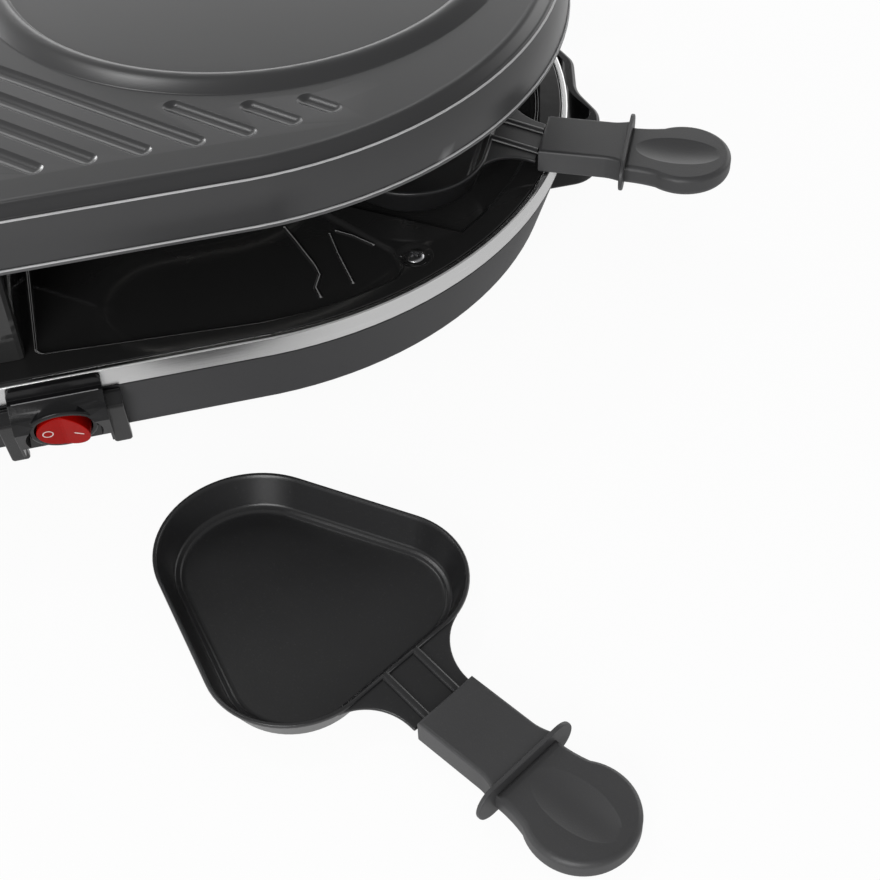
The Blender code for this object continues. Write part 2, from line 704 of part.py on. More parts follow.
def side_recess():
    start_x = BRIDGE_HALF_WIDTH + RECESS_BRIDGE_CLEARANCE
    inner_x = SIDE_PLACE_X + TRAY_RADIUS * RECESS_INNER_ACROSS_SHARE
    inner_y = -TRAY_RADIUS * RECESS_INNER_ALONG_SHARE
    outer_share, outer_angle = RECESS_OUTER_CORNER
    rib_share, rib_angle = RECESS_RIB_CORNER
    return rounded([
        (start_x, -RECESS_SPINE, RECESS_ROUND),
        (start_x, RECESS_BRIDGE_RIM - TRAY_RADIUS, RECESS_ROUND / 2),
        (STRAIGHT_HALF, -RECESS_RADIUS, 0),
        (*spoke(RECESS_RADIUS, RECESS_STRAIGHT_ANGLE), 0),
        (*spoke(RECESS_RADIUS, RECESS_CORNER_ANGLE), RECESS_ROUND),
        (*spoke(TRAY_RADIUS * outer_share, outer_angle), RECESS_ROUND),
        (*spoke(TRAY_RADIUS * rib_share, rib_angle), 0),
        (inner_x, inner_y, RECESS_ROUND),
        (inner_x, -RECESS_SPINE, RECESS_ROUND),
    ])


def end_recess():
    rim = arc(STRAIGHT_HALF, 0, END_RECESS_RADIUS, -END_RECESS_ANGLE, END_RECESS_ANGLE, END_RECESS_STEPS)
    rib_share, rib_angle = END_RIB_CORNER
    inner_share, inner_angle = END_INNER_CORNER
    rib_x, rib_y = spoke(TRAY_RADIUS * rib_share, rib_angle)
    inner_x, inner_y = spoke(TRAY_RADIUS * inner_share, inner_angle)
    corners = [(inner_x, inner_y, RECESS_ROUND), (inner_x, -inner_y, RECESS_ROUND),
               (rib_x, -rib_y, RECESS_ROUND)]
    corners += [(point.x, point.y, 0) for point in rim]
    corners += [(rib_x, rib_y, RECESS_ROUND)]
    return rounded(corners)


def make_tray():
    levels = [(0, TRAY_UNDERSIDE), (0, TRAY_TOP - TRAY_EDGE), (TRAY_EDGE, TRAY_TOP)]
    tray = stacked("drip_tray", oval_outline(TRAY_RADIUS), levels)
    recess_levels = sunk(TRAY_TOP, TRAY_RECESS, RECESS_DRAFT)
    side = stacked("side_recess", inset_outline(side_recess()), recess_levels)
    for matrix in (FLIP_X, FLIP_Y, FLIP_X @ FLIP_Y):
        tray = cut_by(tray, link("side_recess_copy", mirrored(side.data, matrix)))
    tray = cut_by(tray, side)
    end = stacked("end_recess", inset_outline(end_recess()), recess_levels)
    tray = cut_by(tray, link("end_recess_copy", mirrored(end.data, FLIP_X)))
    tray = cut_by(tray, end)
    dimple = lambda inset: arc(0, 0, DIMPLE_RADIUS - inset, 0, 2 * math.pi, PAD_STEPS)[:-1]
    dimple_levels = sunk(TRAY_TOP, DIMPLE_DEPTH, DIMPLE_DRAFT)
    for x, y in screw_places():
        tray = cut_by(tray, stacked("dimple", dimple, dimple_levels, Matrix.Translation((x, y, 0))))
        bore = SCREW_SHANK_RADIUS + SEAT_GAP
        tray = cut_by(tray, round_bar("bore", bore, 2 * SCREW_LENGTH, PIN_STEPS,
                                      Matrix.Translation((x, y, TRAY_TOP))))
    slot = box_outline(TRAY_SLOT_WIDTH / 2, TRAY_SLOT_LENGTH / 2, 0)
    slot_levels = [(0, TRAY_UNDERSIDE - OVERRUN), (0, TRAY_TOP + OVERRUN)]
    return cut_by(tray, stacked("slot", slot, slot_levels, Matrix.Translation((0, TERMINAL_Y, 0))))


def make_screw(name):
    seat = TRAY_TOP - DIMPLE_DEPTH + SEAT_GAP
    profile = [(SCREW_HEAD_RADIUS * out, seat + SCREW_HEAD_HEIGHT * rise)
               for out, rise in SCREW_CROWN_SHARES]
    profile += [
        (SCREW_SHANK_RADIUS, seat),
        (SCREW_SHANK_RADIUS, seat - SCREW_LENGTH),
        (0, seat - SCREW_LENGTH),
    ]
    return turned(name, profile, False, PAD_STEPS)


def groove_runs():
    # Each channel lies on a 45 degree line x + y = offset. It is kept where it is inside the
    # drawn-in oval and outside the circle round the crepe ring.
    reach = STRAIGHT_HALF + GROOVE_EDGE_RADIUS
    runs = []
    for number in range(GROOVE_COUNT):
        offset = GROOVE_FIRST + number * GROOVE_PITCH
        run = []
        for sample in range(GROOVE_SAMPLES + 1):
            x = -reach + 2 * reach * sample / GROOVE_SAMPLES
            y = offset - x
            nearest = max(-STRAIGHT_HALF, min(STRAIGHT_HALF, x))
            inside = math.hypot(x - nearest, y) <= GROOVE_EDGE_RADIUS
            clear = math.hypot(x - CREPE_X, y) >= GROOVE_CREPE_RADIUS
            if inside and clear:
                run.append((x, y))
            elif run:
                runs.append((run[0], run[-1]))
                run = []
        if run:
            runs.append((run[0], run[-1]))
    return [run for run in runs if math.dist(*run) >= GROOVE_LEAST]


def groove_outline(start, end):
    # A slot with round ends between the two points.
    way = (Vector(end) - Vector(start)).normalized()
    heading = math.atan2(way.y, way.x)
    radius = GROOVE_WIDTH / 2
    first = Vector(start) + way * radius
    last = Vector(end) - way * radius
    points = arc(last.x, last.y, radius, heading - QUARTER, heading + QUARTER, GROOVE_ROUND_STEPS)
    points += arc(first.x, first.y, radius, heading + QUARTER, heading + 3 * QUARTER, GROOVE_ROUND_STEPS)
    return points


def make_plate():
    crease = PLATE_CREASE_RADIUS
    levels = [
        (PLATE_WALL, PLATE_UNDERSIDE),
        (PLATE_WALL - PLATE_FLARE, PLATE_BOTTOM),
        (-PLATE_FLARE, PLATE_BOTTOM),
        (-PLATE_CREASE_ROUND / 2, PLATE_CREASE - PLATE_CREASE_ROUND),
        (0, PLATE_CREASE),
        (PLATE_VALLEY / 2, PLATE_CREASE),
        (PLATE_VALLEY, PLATE_CREASE + PLATE_CREASE_ROUND / 2),
        (PLATE_SHOULDER - PLATE_CREASE_ROUND, PLATE_TOP - PLATE_CREASE_ROUND / 2),
        (PLATE_SHOULDER + PLATE_CREASE_ROUND, PLATE_TOP),
    ]
    plate = stacked("grill_plate", oval_outline(crease), levels)
    root = PLATE_TOP - PLATE_THICKNESS / 2
    bead = [(CREPE_RADIUS + CREPE_BEAD_WIDTH * run, PLATE_TOP + CREPE_BEAD_HEIGHT * rise)
            for run, rise in CREPE_CREST_SHARES]
    bead += [(CREPE_RADIUS + CREPE_BEAD_WIDTH, root), (CREPE_RADIUS, root)]
    ring = turned("crepe_bead", bead, True, CREPE_STEPS)
    for corner in ring.data.vertices:
        corner.co.x += CREPE_X
    plate = joined(plate, ring)
    channel_levels = sunk(PLATE_TOP, GROOVE_DEPTH, GROOVE_DRAFT)
    for start, end in groove_runs():
        plate = cut_by(plate, stacked("channel", inset_outline(groove_outline(start, end)), channel_levels))
    return plate


def box_outline(half_x, half_y, radius):
    corners = [(half_x, -half_y, radius), (half_x, half_y, radius),
               (-half_x, half_y, radius), (-half_x, -half_y, radius)]
    return inset_outline(rounded(corners, 2))


def make_bridge():
    outline = box_outline(BRIDGE_HALF_WIDTH, BRIDGE_HALF_LENGTH, BRIDGE_ROUND)
    bottom = TRAY_TOP + SEAT_GAP
    bridge = stacked("centre_bridge", outline, [(0, bottom), (0, CARRIER_TOP)])
    hollow = [(BRIDGE_WALL, bottom - OVERRUN), (BRIDGE_WALL, CARRIER_TOP - BRIDGE_WALL)]
    bridge = cut_by(bridge, stacked("hollow", outline, hollow))
    across = Matrix.Rotation(QUARTER, 4, "Y")
    for y in (ELEMENT_INNER_RUN, ELEMENT_OUTER_RUN):
        place = Matrix.Translation((0, y, ELEMENT_LEVEL)) @ across
        bridge = cut_by(bridge, round_bar("tube_hole", ELEMENT_NOTCH, 2 * BRIDGE_WIDTH, PAD_STEPS, place))
    return bridge


def element_path():
    outer = arc(STRAIGHT_HALF, 0, ELEMENT_OUTER_RUN, QUARTER, -QUARTER, ELEMENT_OUTER_STEPS)
    turn = arc(ELEMENT_TURN_X, -TERMINAL_Y, ELEMENT_TURN_RADIUS, -QUARTER, -3 * QUARTER, ELEMENT_TURN_STEPS)
    inner = arc(STRAIGHT_HALF, 0, ELEMENT_INNER_RUN, -QUARTER, QUARTER, ELEMENT_INNER_STEPS)
    flat = [Vector((ELEMENT_PIN_X, ELEMENT_OUTER_RUN))] + outer + turn + inner
    flat.append(Vector((ELEMENT_PIN_X, ELEMENT_INNER_RUN)))
    return [(point.x, point.y, ELEMENT_LEVEL) for point in flat]


def upright_matrix(y, side=1):
    # Outlines drawn in (x, height) become sheets that stand across Y.
    return Matrix(((side, 0, 0, 0), (0, 0, 1, y), (0, 1, 0, 0), (0, 0, 0, 1)))


def notch(x, level):
    # The round seat for the tube, open at the top, drawn from its right to its left.
    return arc(x, level, ELEMENT_NOTCH, 0, -math.pi, NOTCH_STEPS)


def make_bracket(name, side):
    wall = BRIDGE_HALF_WIDTH + SEAT_GAP
    tube_x = ELEMENT_TURN_X - ELEMENT_TURN_RADIUS
    outer = tube_x + ELEMENT_NOTCH + BRACKET_LIP
    under = ELEMENT_LEVEL - ELEMENT_NOTCH - BRACKET_LIP
    points = [Vector((wall, ELEMENT_LEVEL - BRACKET_FOOT)), Vector((tube_x, under)), Vector((outer, under)),
              Vector((outer, ELEMENT_LEVEL))]
    points += notch(tube_x, ELEMENT_LEVEL)
    points.append(Vector((tube_x - ELEMENT_NOTCH - BRACKET_LIP, ELEMENT_LEVEL + BRACKET_LIP)))
    points.append(Vector((wall, ELEMENT_LEVEL + BRACKET_HEAD)))
    half = BRACKET_THICKNESS / 2
    matrix = upright_matrix(-TERMINAL_Y, side)
    return stacked(name, inset_outline(points), [(0, -half), (0, half)], matrix)


def make_post(name, side):
    near = STRAIGHT_HALF + POST_DISTANCE
    outline = box_outline(POST_DEPTH / 2, POST_WIDTH / 2, POST_EDGE)
    middle = near + POST_DEPTH / 2
    bottom = TRAY_TOP + SEAT_GAP
    post = stacked(name, outline, [(0, bottom), (0, CARRIER_TOP)], Matrix.Translation((middle, 0, 0)))
    tube_x = STRAIGHT_HALF + ELEMENT_OUTER_RUN
    low = ELEMENT_LEVEL - ELEMENT_NOTCH - BRACKET_ARM
    high = ELEMENT_LEVEL - ELEMENT_NOTCH + BRACKET_LIP
    start = tube_x - ELEMENT_NOTCH - BRACKET_LIP
    points = [Vector((start, low)), Vector((middle, low)), Vector((middle, high)),
              Vector((tube_x + ELEMENT_NOTCH + BRACKET_LIP, high)),
              Vector((tube_x + ELEMENT_NOTCH, ELEMENT_LEVEL))]
    points += notch(tube_x, ELEMENT_LEVEL)[1:]
    points.append(Vector((start, ELEMENT_LEVEL)))
    half = BRACKET_THICKNESS / 2
    arm = stacked("arm", inset_outline(points), [(0, -half), (0, half)], upright_matrix(0))
    post = joined(post, arm)
    if side < 0:
        post.data = mirrored(post.data, FLIP_X)
    return post


def make_side_handle(name, side):
    root = STRAIGHT_HALF + SHELL_BOTTOM_RADIUS - HANDLE_ROOT
    edge = STRAIGHT_HALF + SHELL_BOTTOM_RADIUS
    far = edge + HANDLE_REACH
    waist = edge + HANDLE_WAIST
    outer = rounded([(root, -HANDLE_HALF_WIDTH, 0), (far, -HANDLE_HALF_WIDTH, HANDLE_CORNER),
                     (waist, 0, HANDLE_WAIST_ROUND), (far, HANDLE_HALF_WIDTH, HANDLE_CORNER),
                     (root, HANDLE_HALF_WIDTH, 0)], HANDLE_OUTER_STEPS)
    slot_half = HANDLE_HALF_WIDTH - HANDLE_ARM
    inner = rounded([(root, -slot_half, 0), (far - HANDLE_BAR, -slot_half, HANDLE_SLOT_CORNER),
                     (waist - HANDLE_BAR, 0, HANDLE_WAIST_ROUND),
                     (far - HANDLE_BAR, slot_half, HANDLE_SLOT_CORNER),
                     (root, slot_half, 0)], HANDLE_INNER_STEPS)
    top = SHELL_SHOULDER
    soft = HANDLE_ROUND
    levels = [(soft, HANDLE_LOW), (soft / 4, HANDLE_LOW + soft / 2), (0, HANDLE_LOW + soft), (0, top - soft),
              (soft / 4, top - soft / 2), (soft, top)]
    handle = stacked(name, inset_outline(outer), levels)
    slot_levels = [(0, HANDLE_LOW - OVERRUN), (0, top + OVERRUN)]
    handle = cut_by(handle, stacked("slot", inset_outline(inner), slot_levels))
    clearance = SEAT_GAP / math.cos(WALL_TILT)
    low = HANDLE_LOW - OVERRUN
    high = top + OVERRUN
    wall_levels = [(-shell_radius(low) - clearance, low), (-shell_radius(high) - clearance, high)]
    handle = cut_by(handle, stacked("wall", oval_outline(0), wall_levels))
    if side < 0:
        handle.data = mirrored(handle.data, FLIP_X)
    return handle


def side_matrix(x):
    # Outlines drawn in (distance from the middle, height) become slabs across X on the front side.
    return Matrix(((0, 0, 1, x), (-1, 0, 0, 0), (0, 1, 0, 0), (0, 0, 0, 1)))


def make_housing():
    clearance = SEAT_GAP / math.cos(WALL_TILT)
    band_face = BAND_RADIUS + SEAT_GAP
    clip_top = BAND_TOP - HOUSING_CLIP_DROP
    wall_low = shell_radius(HOUSING_LOW) + clearance
    points = [
        Vector((wall_low, HOUSING_LOW)),
        Vector((wall_low + HOUSING_CHEEK, HOUSING_LOW)),
        Vector((band_face + HOUSING_BROW_DEPTH, clip_top - HOUSING_BELLY_DROP)),
        Vector((band_face + HOUSING_BROW_DEPTH, clip_top - HOUSING_BROW_DROP)),
        Vector((band_face + HOUSING_CLIP_THICKNESS + HOUSING_LEDGE_DEPTH, clip_top - HOUSING_LEDGE_DROP)),
        Vector((band_face + HOUSING_CLIP_THICKNESS, clip_top - HOUSING_LEDGE_DROP + HOUSING_EDGE)),
        Vector((band_face + HOUSING_CLIP_THICKNESS, clip_top)),
        Vector((band_face, clip_top)),
        Vector((band_face, SHELL_SHOULDER)),
    ]
    half = HOUSING_HALF_WIDTH
    soft = HOUSING_EDGE
    levels = [(soft / 2, -half), (0, soft / 2 - half), (0, half - soft / 2), (soft / 2, half)]
    housing = stacked("switch_housing", inset_outline(points), levels, side_matrix(HOUSING_X))
    foot_inner = shell_radius(0) + clearance
    foot_outer = foot_inner + LEG_FOOT
    leg = [
        Vector((foot_inner, 0)),
        Vector((foot_outer - LEG_FOOT_ROUND, 0)),
        Vector((foot_outer, LEG_FOOT_ROUND)),
        Vector((shell_radius(LEG_KNEE_HEIGHT) + LEG_KNEE_DEPTH, LEG_KNEE_HEIGHT)),
        Vector((shell_radius(LEG_HIP_HEIGHT) + LEG_HIP_DEPTH, LEG_HIP_HEIGHT)),
        Vector((band_face + LEG_HEAD_DEPTH, SHELL_SHOULDER - LEG_HEAD_DROP)),
        Vector((band_face + LEG_HEAD_DEPTH / 2, SHELL_SHOULDER - SEAT_GAP)),
        Vector((band_face, SHELL_SHOULDER - SEAT_GAP)),
    ]
    width = [(soft / 2, -LEG_WIDTH / 2), (0, (soft - LEG_WIDTH) / 2), (0, (LEG_WIDTH - soft) / 2),
             (soft / 2, LEG_WIDTH / 2)]
    for side in (-1, 1):
        x = HOUSING_X + side * (LEG_INNER + LEG_WIDTH / 2 - HOUSING_EDGE)
        housing = joined(housing, stacked("leg", inset_outline(leg), width, side_matrix(x)))
    reach = 2 * HOOD_RADIUS
    hood_levels = [(0, 0), (0, HOOD_STAND - HOOD_ROUND), (HOOD_ROUND, HOOD_STAND)]
    hood_place = wall_matrix(HOUSING_X, SWITCH_LEVEL, SEAT_GAP)
    circle = lambda inset: arc(0, 0, HOOD_RADIUS - inset, 0, 2 * math.pi, SWITCH_STEPS)[:-1]
    hood = stacked("hood", circle, hood_levels)
    below = [(0, -OVERRUN), (0, HOOD_STAND + OVERRUN)]
    lower = Matrix.Translation((0, -HOOD_FOOT - reach, 0))
    hood = cut_by(hood, stacked("lower_half", box_outline(reach, reach, 0), below, lower))
    hood.data.transform(hood_place)
    housing = joined(housing, hood)
    floor = SWITCH_STAND - BEZEL_THICKNESS - SEAT_GAP
    arch = wall_matrix(HOUSING_X, SWITCH_LEVEL, floor + BARREL_LENGTH)
    housing = cut_by(housing, round_bar("arch", ARCH_RADIUS, 2 * BARREL_LENGTH, SWITCH_STEPS, arch))
    barrel = wall_matrix(HOUSING_X, SWITCH_LEVEL, 0)
    bore = CUP_OUTER_RADIUS + SEAT_GAP
    return cut_by(housing, round_bar("barrel_hole", bore, 4 * BARREL_LENGTH, SWITCH_STEPS, barrel))


def make_switch_body():
    profile = [
        (0, -CUP_DEPTH),
        (CUP_RADIUS, -CUP_DEPTH),
        (CUP_RADIUS, 0),
        (BEZEL_RADIUS - BEZEL_ROUND, 0),
        (BEZEL_RADIUS, -BEZEL_ROUND),
        (BEZEL_RADIUS, -BEZEL_THICKNESS),
        (CUP_OUTER_RADIUS, -BEZEL_THICKNESS),
        (CUP_OUTER_RADIUS, -CUP_DEPTH - CUP_BASE),
        (BARREL_RADIUS, -CUP_DEPTH - CUP_BASE),
        (BARREL_RADIUS, -BARREL_LENGTH),
        (0, -BARREL_LENGTH),
    ]
    return turned("switch_body", profile, False, SWITCH_STEPS)


def make_rocker():
    half_swing = ROCKER_SWING / 2
    rise = ROCKER_RADIUS * math.tan(half_swing)
    section = [
        Vector((-ROCKER_RADIUS, -ROCKER_BOTTOM)),
        Vector((ROCKER_RADIUS, -ROCKER_BOTTOM)),
        Vector((ROCKER_RADIUS, ROCKER_VALLEY + rise)),
        Vector((0, ROCKER_VALLEY)),
        Vector((-ROCKER_RADIUS, ROCKER_VALLEY + rise)),
    ]
    reach = ROCKER_RADIUS + OVERRUN
    rocker = stacked("rocker", inset_outline(section), [(0, -reach), (0, reach)], upright_matrix(0))
    drum = round_bar("drum", ROCKER_RADIUS, 4 * ROCKER_RADIUS, SWITCH_STEPS, Matrix.Identity(4))
    rocker = combined(rocker, drum, "INTERSECT")
    pin = Matrix.Rotation(QUARTER, 4, "X")
    rocker = joined(rocker, round_bar("pin", ROCKER_PIN, 2 * (CUP_RADIUS - SEAT_GAP), PIN_STEPS, pin))
    rocker.data.transform(Matrix.Rotation(-half_swing, 4, "Y"))
    return rocker


def make_inlet():
    profile = [
        (INLET_FLANGE - BEZEL_ROUND, INLET_FLANGE_THICKNESS + SEAT_GAP),
        (INLET_FLANGE, INLET_FLANGE_THICKNESS),
        (INLET_FLANGE, SEAT_GAP),
        (INLET_BARREL, SEAT_GAP),
        (INLET_BARREL, -INLET_DEPTH),
        (INLET_BORE, -INLET_DEPTH),
        (INLET_BORE, INLET_FLANGE_THICKNESS + SEAT_GAP),
    ]
    return turned("cord_inlet", profile, True, INLET_STEPS)


def make_terminal_block():
    outline = box_outline(BRIDGE_HALF_WIDTH - BRIDGE_WALL - SEAT_GAP, TERMINAL_LENGTH / 2, 0)
    levels = [(0, TERMINAL_LOW), (0, TERMINAL_LOW + TERMINAL_HEIGHT)]
    return stacked("terminal_block", outline, levels, Matrix.Translation((0, TERMINAL_Y, 0)))


def bent_route(corners, bend):
    # A route whose corners are rounded off with a few points each.
    points = [Vector(corners[0])]
    for before, here, after in zip(corners, corners[1:], corners[2:]):
        back = (Vector(before) - Vector(here)).normalized() * bend
        ahead = (Vector(after) - Vector(here)).normalized() * bend
        for share in LEAD_BEND_SHARES:
            stay = (1 - share) ** 2
            go = share ** 2
            points.append(Vector(here) + back * stay + ahead * go)
    points.append(Vector(corners[-1]))
    return points


def make_leads():
    top = TERMINAL_LOW - SEAT_GAP
    behind = wall_matrix(HOUSING_X, SWITCH_LEVEL, SWITCH_STAND - BARREL_LENGTH - SEAT_GAP)
    inward = behind @ Vector((0, 0, -2 * LEAD_BEND))
    first = TERMINAL_Y - LEAD_SPACING / 2
    second = TERMINAL_Y + LEAD_SPACING / 2
    switch_route = bent_route([behind.translation, inward, (0, first, LEAD_LEVEL), (0, first, top)],
                              LEAD_BEND)
    inside = wall_matrix(INLET_X, INLET_LEVEL, -INLET_DEPTH / 2, 1)
    onward = inside @ Vector((0, 0, -2 * LEAD_BEND))
    inlet_route = bent_route([inside.translation, onward, (0, second, LEAD_LEVEL), (0, second, top)],
                             LEAD_BEND)
    return (tube("lead_to_switch", switch_route, LEAD_RADIUS),
            tube("lead_to_inlet", inlet_route, LEAD_RADIUS))


def pan_outline(inset):
    # The nose circle and two corner circles with their common tangents.
    gap = Vector((CORNER_X - NOSE_X, CORNER_Y))
    tangent = math.atan2(gap.y, gap.x) + math.acos((NOSE_RADIUS - CORNER_RADIUS) / gap.length)
    full = 2 * math.pi
    points = arc(CORNER_X, CORNER_Y, CORNER_RADIUS - inset, 0, tangent, CORNER_STEPS)
    points += arc(NOSE_X, 0, NOSE_RADIUS - inset, tangent, full - tangent, NOSE_STEPS)
    points += arc(CORNER_X, -CORNER_Y, CORNER_RADIUS - inset, full - tangent, full, CORNER_STEPS)
    return points


def neck_fillet():
    # Centre of the fillet that touches the corner circle and the neck's side, and its end angle.
    side = NECK_HALF_WIDTH + NECK_FILLET
    reach = math.sqrt((CORNER_RADIUS + NECK_FILLET) ** 2 - (side - CORNER_Y) ** 2)
    return CORNER_X + reach, side, math.atan2(CORNER_Y - side, -reach)


def neck_outline():
    x, y, end = neck_fillet()
    touch = y + NECK_FILLET * math.sin(end)
    lower = arc(x, -y, NECK_FILLET, -end, QUARTER, NECK_FILLET_STEPS)
    upper = arc(x, y, NECK_FILLET, -QUARTER, end, NECK_FILLET_STEPS)
    middle = [Vector((x, -TONGUE_HALF_WIDTH)), Vector((TONGUE_LENGTH, -TONGUE_HALF_WIDTH)),
              Vector((TONGUE_LENGTH, TONGUE_HALF_WIDTH)), Vector((x, TONGUE_HALF_WIDTH))]
    return [Vector((NECK_START, -touch))] + lower + middle + upper + [Vector((NECK_START, touch))]


def neck_matrix():
    # The neck falls from just under the rim to the middle of the block.
    rim = CORNER_X + CORNER_RADIUS
    slope = math.atan2(NECK_FALL, -rim)
    high = PAN_HEIGHT - NECK_DROP
    back = Matrix.Translation((-rim, 0, 0))
    return Matrix.Translation((rim, 0, high)) @ Matrix.Rotation(slope, 4, "Y") @ back


def make_pan_mesh():
    levels = [
        (PAN_WALL_RUN + PAN_FOOT_ROUND, 0),
        (PAN_WALL_RUN, PAN_FOOT_ROUND),
        (PAN_RIM, PAN_HEIGHT - PAN_RIM_HEIGHT),
        (0, PAN_HEIGHT - PAN_RIM_HEIGHT / 2),
        (PAN_RIM / 4, PAN_HEIGHT),
    ]
    pan = stacked("pan", pan_outline, levels)
    neck_levels = [(0, -NECK_THICKNESS), (0, 0)]
    pan = joined(pan, stacked("neck", inset_outline(neck_outline()), neck_levels, neck_matrix()))
    ridge_end = -SEAT_GAP
    ridge_length = ridge_end - NECK_START
    for side in (-1, 1):
        place = Matrix.Translation(((NECK_START + ridge_end) / 2, side * RIDGE_SPACING / 2, 0))
        along = Matrix.Rotation(QUARTER, 4, "Y")
        ridge = round_bar("ridge", RIDGE_RADIUS, ridge_length, RIDGE_STEPS, neck_matrix() @ place @ along)
        pan = joined(pan, ridge)
    sheet = PAN_SHEET
    cavity_levels = [
        (PAN_WALL_RUN + sheet, PAN_FLOOR),
        (PAN_RIM + sheet, PAN_HEIGHT - PAN_RIM_HEIGHT / 2),
        (PAN_RIM + sheet / 2, PAN_HEIGHT + OVERRUN),
        (PAN_RIM + sheet / 2, PAN_HEIGHT + NECK_FALL + 2 * RIDGE_RADIUS),
    ]
    pan = cut_by(pan, stacked("cavity", pan_outline, cavity_levels))
    mesh = pan.data
    bpy.data.objects.remove(pan, do_unlink=True)
    return mesh


def guard_outline():
    radius = GUARD_HEIGHT / 2
    middle = GUARD_LIFT + radius
    reach = GUARD_HALF_WIDTH - radius
    points = arc(reach, middle, radius, -QUARTER, QUARTER, GUARD_ROUND_STEPS)
    return points + arc(-reach, middle, radius, QUARTER, 3 * QUARTER, GUARD_ROUND_STEPS)


def paddle_outline():
    guard_middle = BLOCK_LENGTH + GUARD_THICKNESS / 2
    rim = arc(PADDLE_X, 0, PADDLE_RADIUS, -PADDLE_TANGENT, PADDLE_TANGENT, PADDLE_STEPS)
    right = Vector((guard_middle, -PADDLE_ROOT_HALF_WIDTH))
    left = Vector((guard_middle, PADDLE_ROOT_HALF_WIDTH))
    return [right] + rim + [left]


def make_pan_handle_mesh():
    flare_start = BLOCK_LENGTH - BLOCK_FLARE_LENGTH
    guard_middle = BLOCK_LENGTH + GUARD_THICKNESS / 2
    wide = BLOCK_HALF_WIDTH + BLOCK_FLARE
    plan = [
        Vector((0, -BLOCK_HALF_WIDTH)),
        Vector((flare_start, -BLOCK_HALF_WIDTH)),
        Vector((guard_middle, -wide)),
        Vector((guard_middle, wide)),
        Vector((flare_start, BLOCK_HALF_WIDTH)),
        Vector((0, BLOCK_HALF_WIDTH)),
    ]
    top = BLOCK_LIFT + BLOCK_THICKNESS
    soft = BLOCK_EDGE
    levels = [(soft, BLOCK_LIFT), (0, BLOCK_LIFT + soft), (0, top - soft), (soft, top)]
    handle = stacked("pan_handle", inset_outline(plan), levels)
    guard_levels = [(GUARD_EDGE, 0), (0, GUARD_EDGE), (0, GUARD_THICKNESS - GUARD_EDGE),
                    (GUARD_EDGE, GUARD_THICKNESS)]
    across = Matrix(((0, 0, 1, BLOCK_LENGTH), (1, 0, 0, 0), (0, 1, 0, 0), (0, 0, 0, 1)))
    handle = joined(handle, stacked("guard", inset_outline(guard_outline()), guard_levels, across))
    paddle_levels = [(PADDLE_RADIUS * inward, PADDLE_LIFT + PADDLE_THICKNESS * rise)
                     for inward, rise in PADDLE_EDGE_SHARES]
    paddle = stacked("paddle", inset_outline(paddle_outline()), paddle_levels)
    ball = bmesh.new()
    centre = Vector((PADDLE_X, 0, PADDLE_LIFT + PADDLE_THICKNESS - DISH_DEPTH + DISH_RADIUS))
    stretch = Matrix.Diagonal((*DISH_SHARES, 1))
    bmesh.ops.create_uvsphere(ball, u_segments=DISH_STEPS, v_segments=2 * DISH_STEPS, radius=DISH_RADIUS,
                              matrix=Matrix.Translation(centre) @ stretch)
    mesh = bpy.data.meshes.new("dish")
    ball.to_mesh(mesh)
    ball.free()
    paddle = cut_by(paddle, link("dish", mesh))
    handle = joined(handle, paddle)
    slot_plan = [Vector((-OVERRUN, -TONGUE_HALF_WIDTH - SEAT_GAP)),
                 Vector((TONGUE_LENGTH + SEAT_GAP, -TONGUE_HALF_WIDTH - SEAT_GAP)),
                 Vector((TONGUE_LENGTH + SEAT_GAP, TONGUE_HALF_WIDTH + SEAT_GAP)),
                 Vector((-OVERRUN, TONGUE_HALF_WIDTH + SEAT_GAP))]
    slot_levels = [(0, -NECK_THICKNESS - SEAT_GAP), (0, SEAT_GAP)]
    handle = cut_by(handle, stacked("tongue_slot", inset_outline(slot_plan), slot_levels, neck_matrix()))
    mesh = handle.data
    bpy.data.objects.remove(handle, do_unlink=True)
    return mesh


def pan_places():
    # Name, place of the block's start, turn about Z. The place at the front right stays empty.
    half_turn = math.pi
    low = PAN_IN_PLACE
    return [
        ("front_left", (-SIDE_PLACE_X, -SIDE_PLACE_Y, low), -QUARTER),
        ("back_left", (-SIDE_PLACE_X, SIDE_PLACE_Y, low), QUARTER),
        ("back_right", (SIDE_PLACE_X, SIDE_PLACE_Y, low), QUARTER),
        ("right_front", (END_PLACE_X, -END_PLACE_Y, low), -END_PLACE_TURN),
        ("right_back", (END_PLACE_X, END_PLACE_Y, low), END_PLACE_TURN),
        ("left_front", (-END_PLACE_X, -END_PLACE_Y, low), END_PLACE_TURN - half_turn),
        ("left_back", (-END_PLACE_X, END_PLACE_Y, low), half_turn - END_PLACE_TURN),
        ("loose", (LOOSE_PLACE_X, LOOSE_PLACE_Y, 0), LOOSE_TURN),
    ]


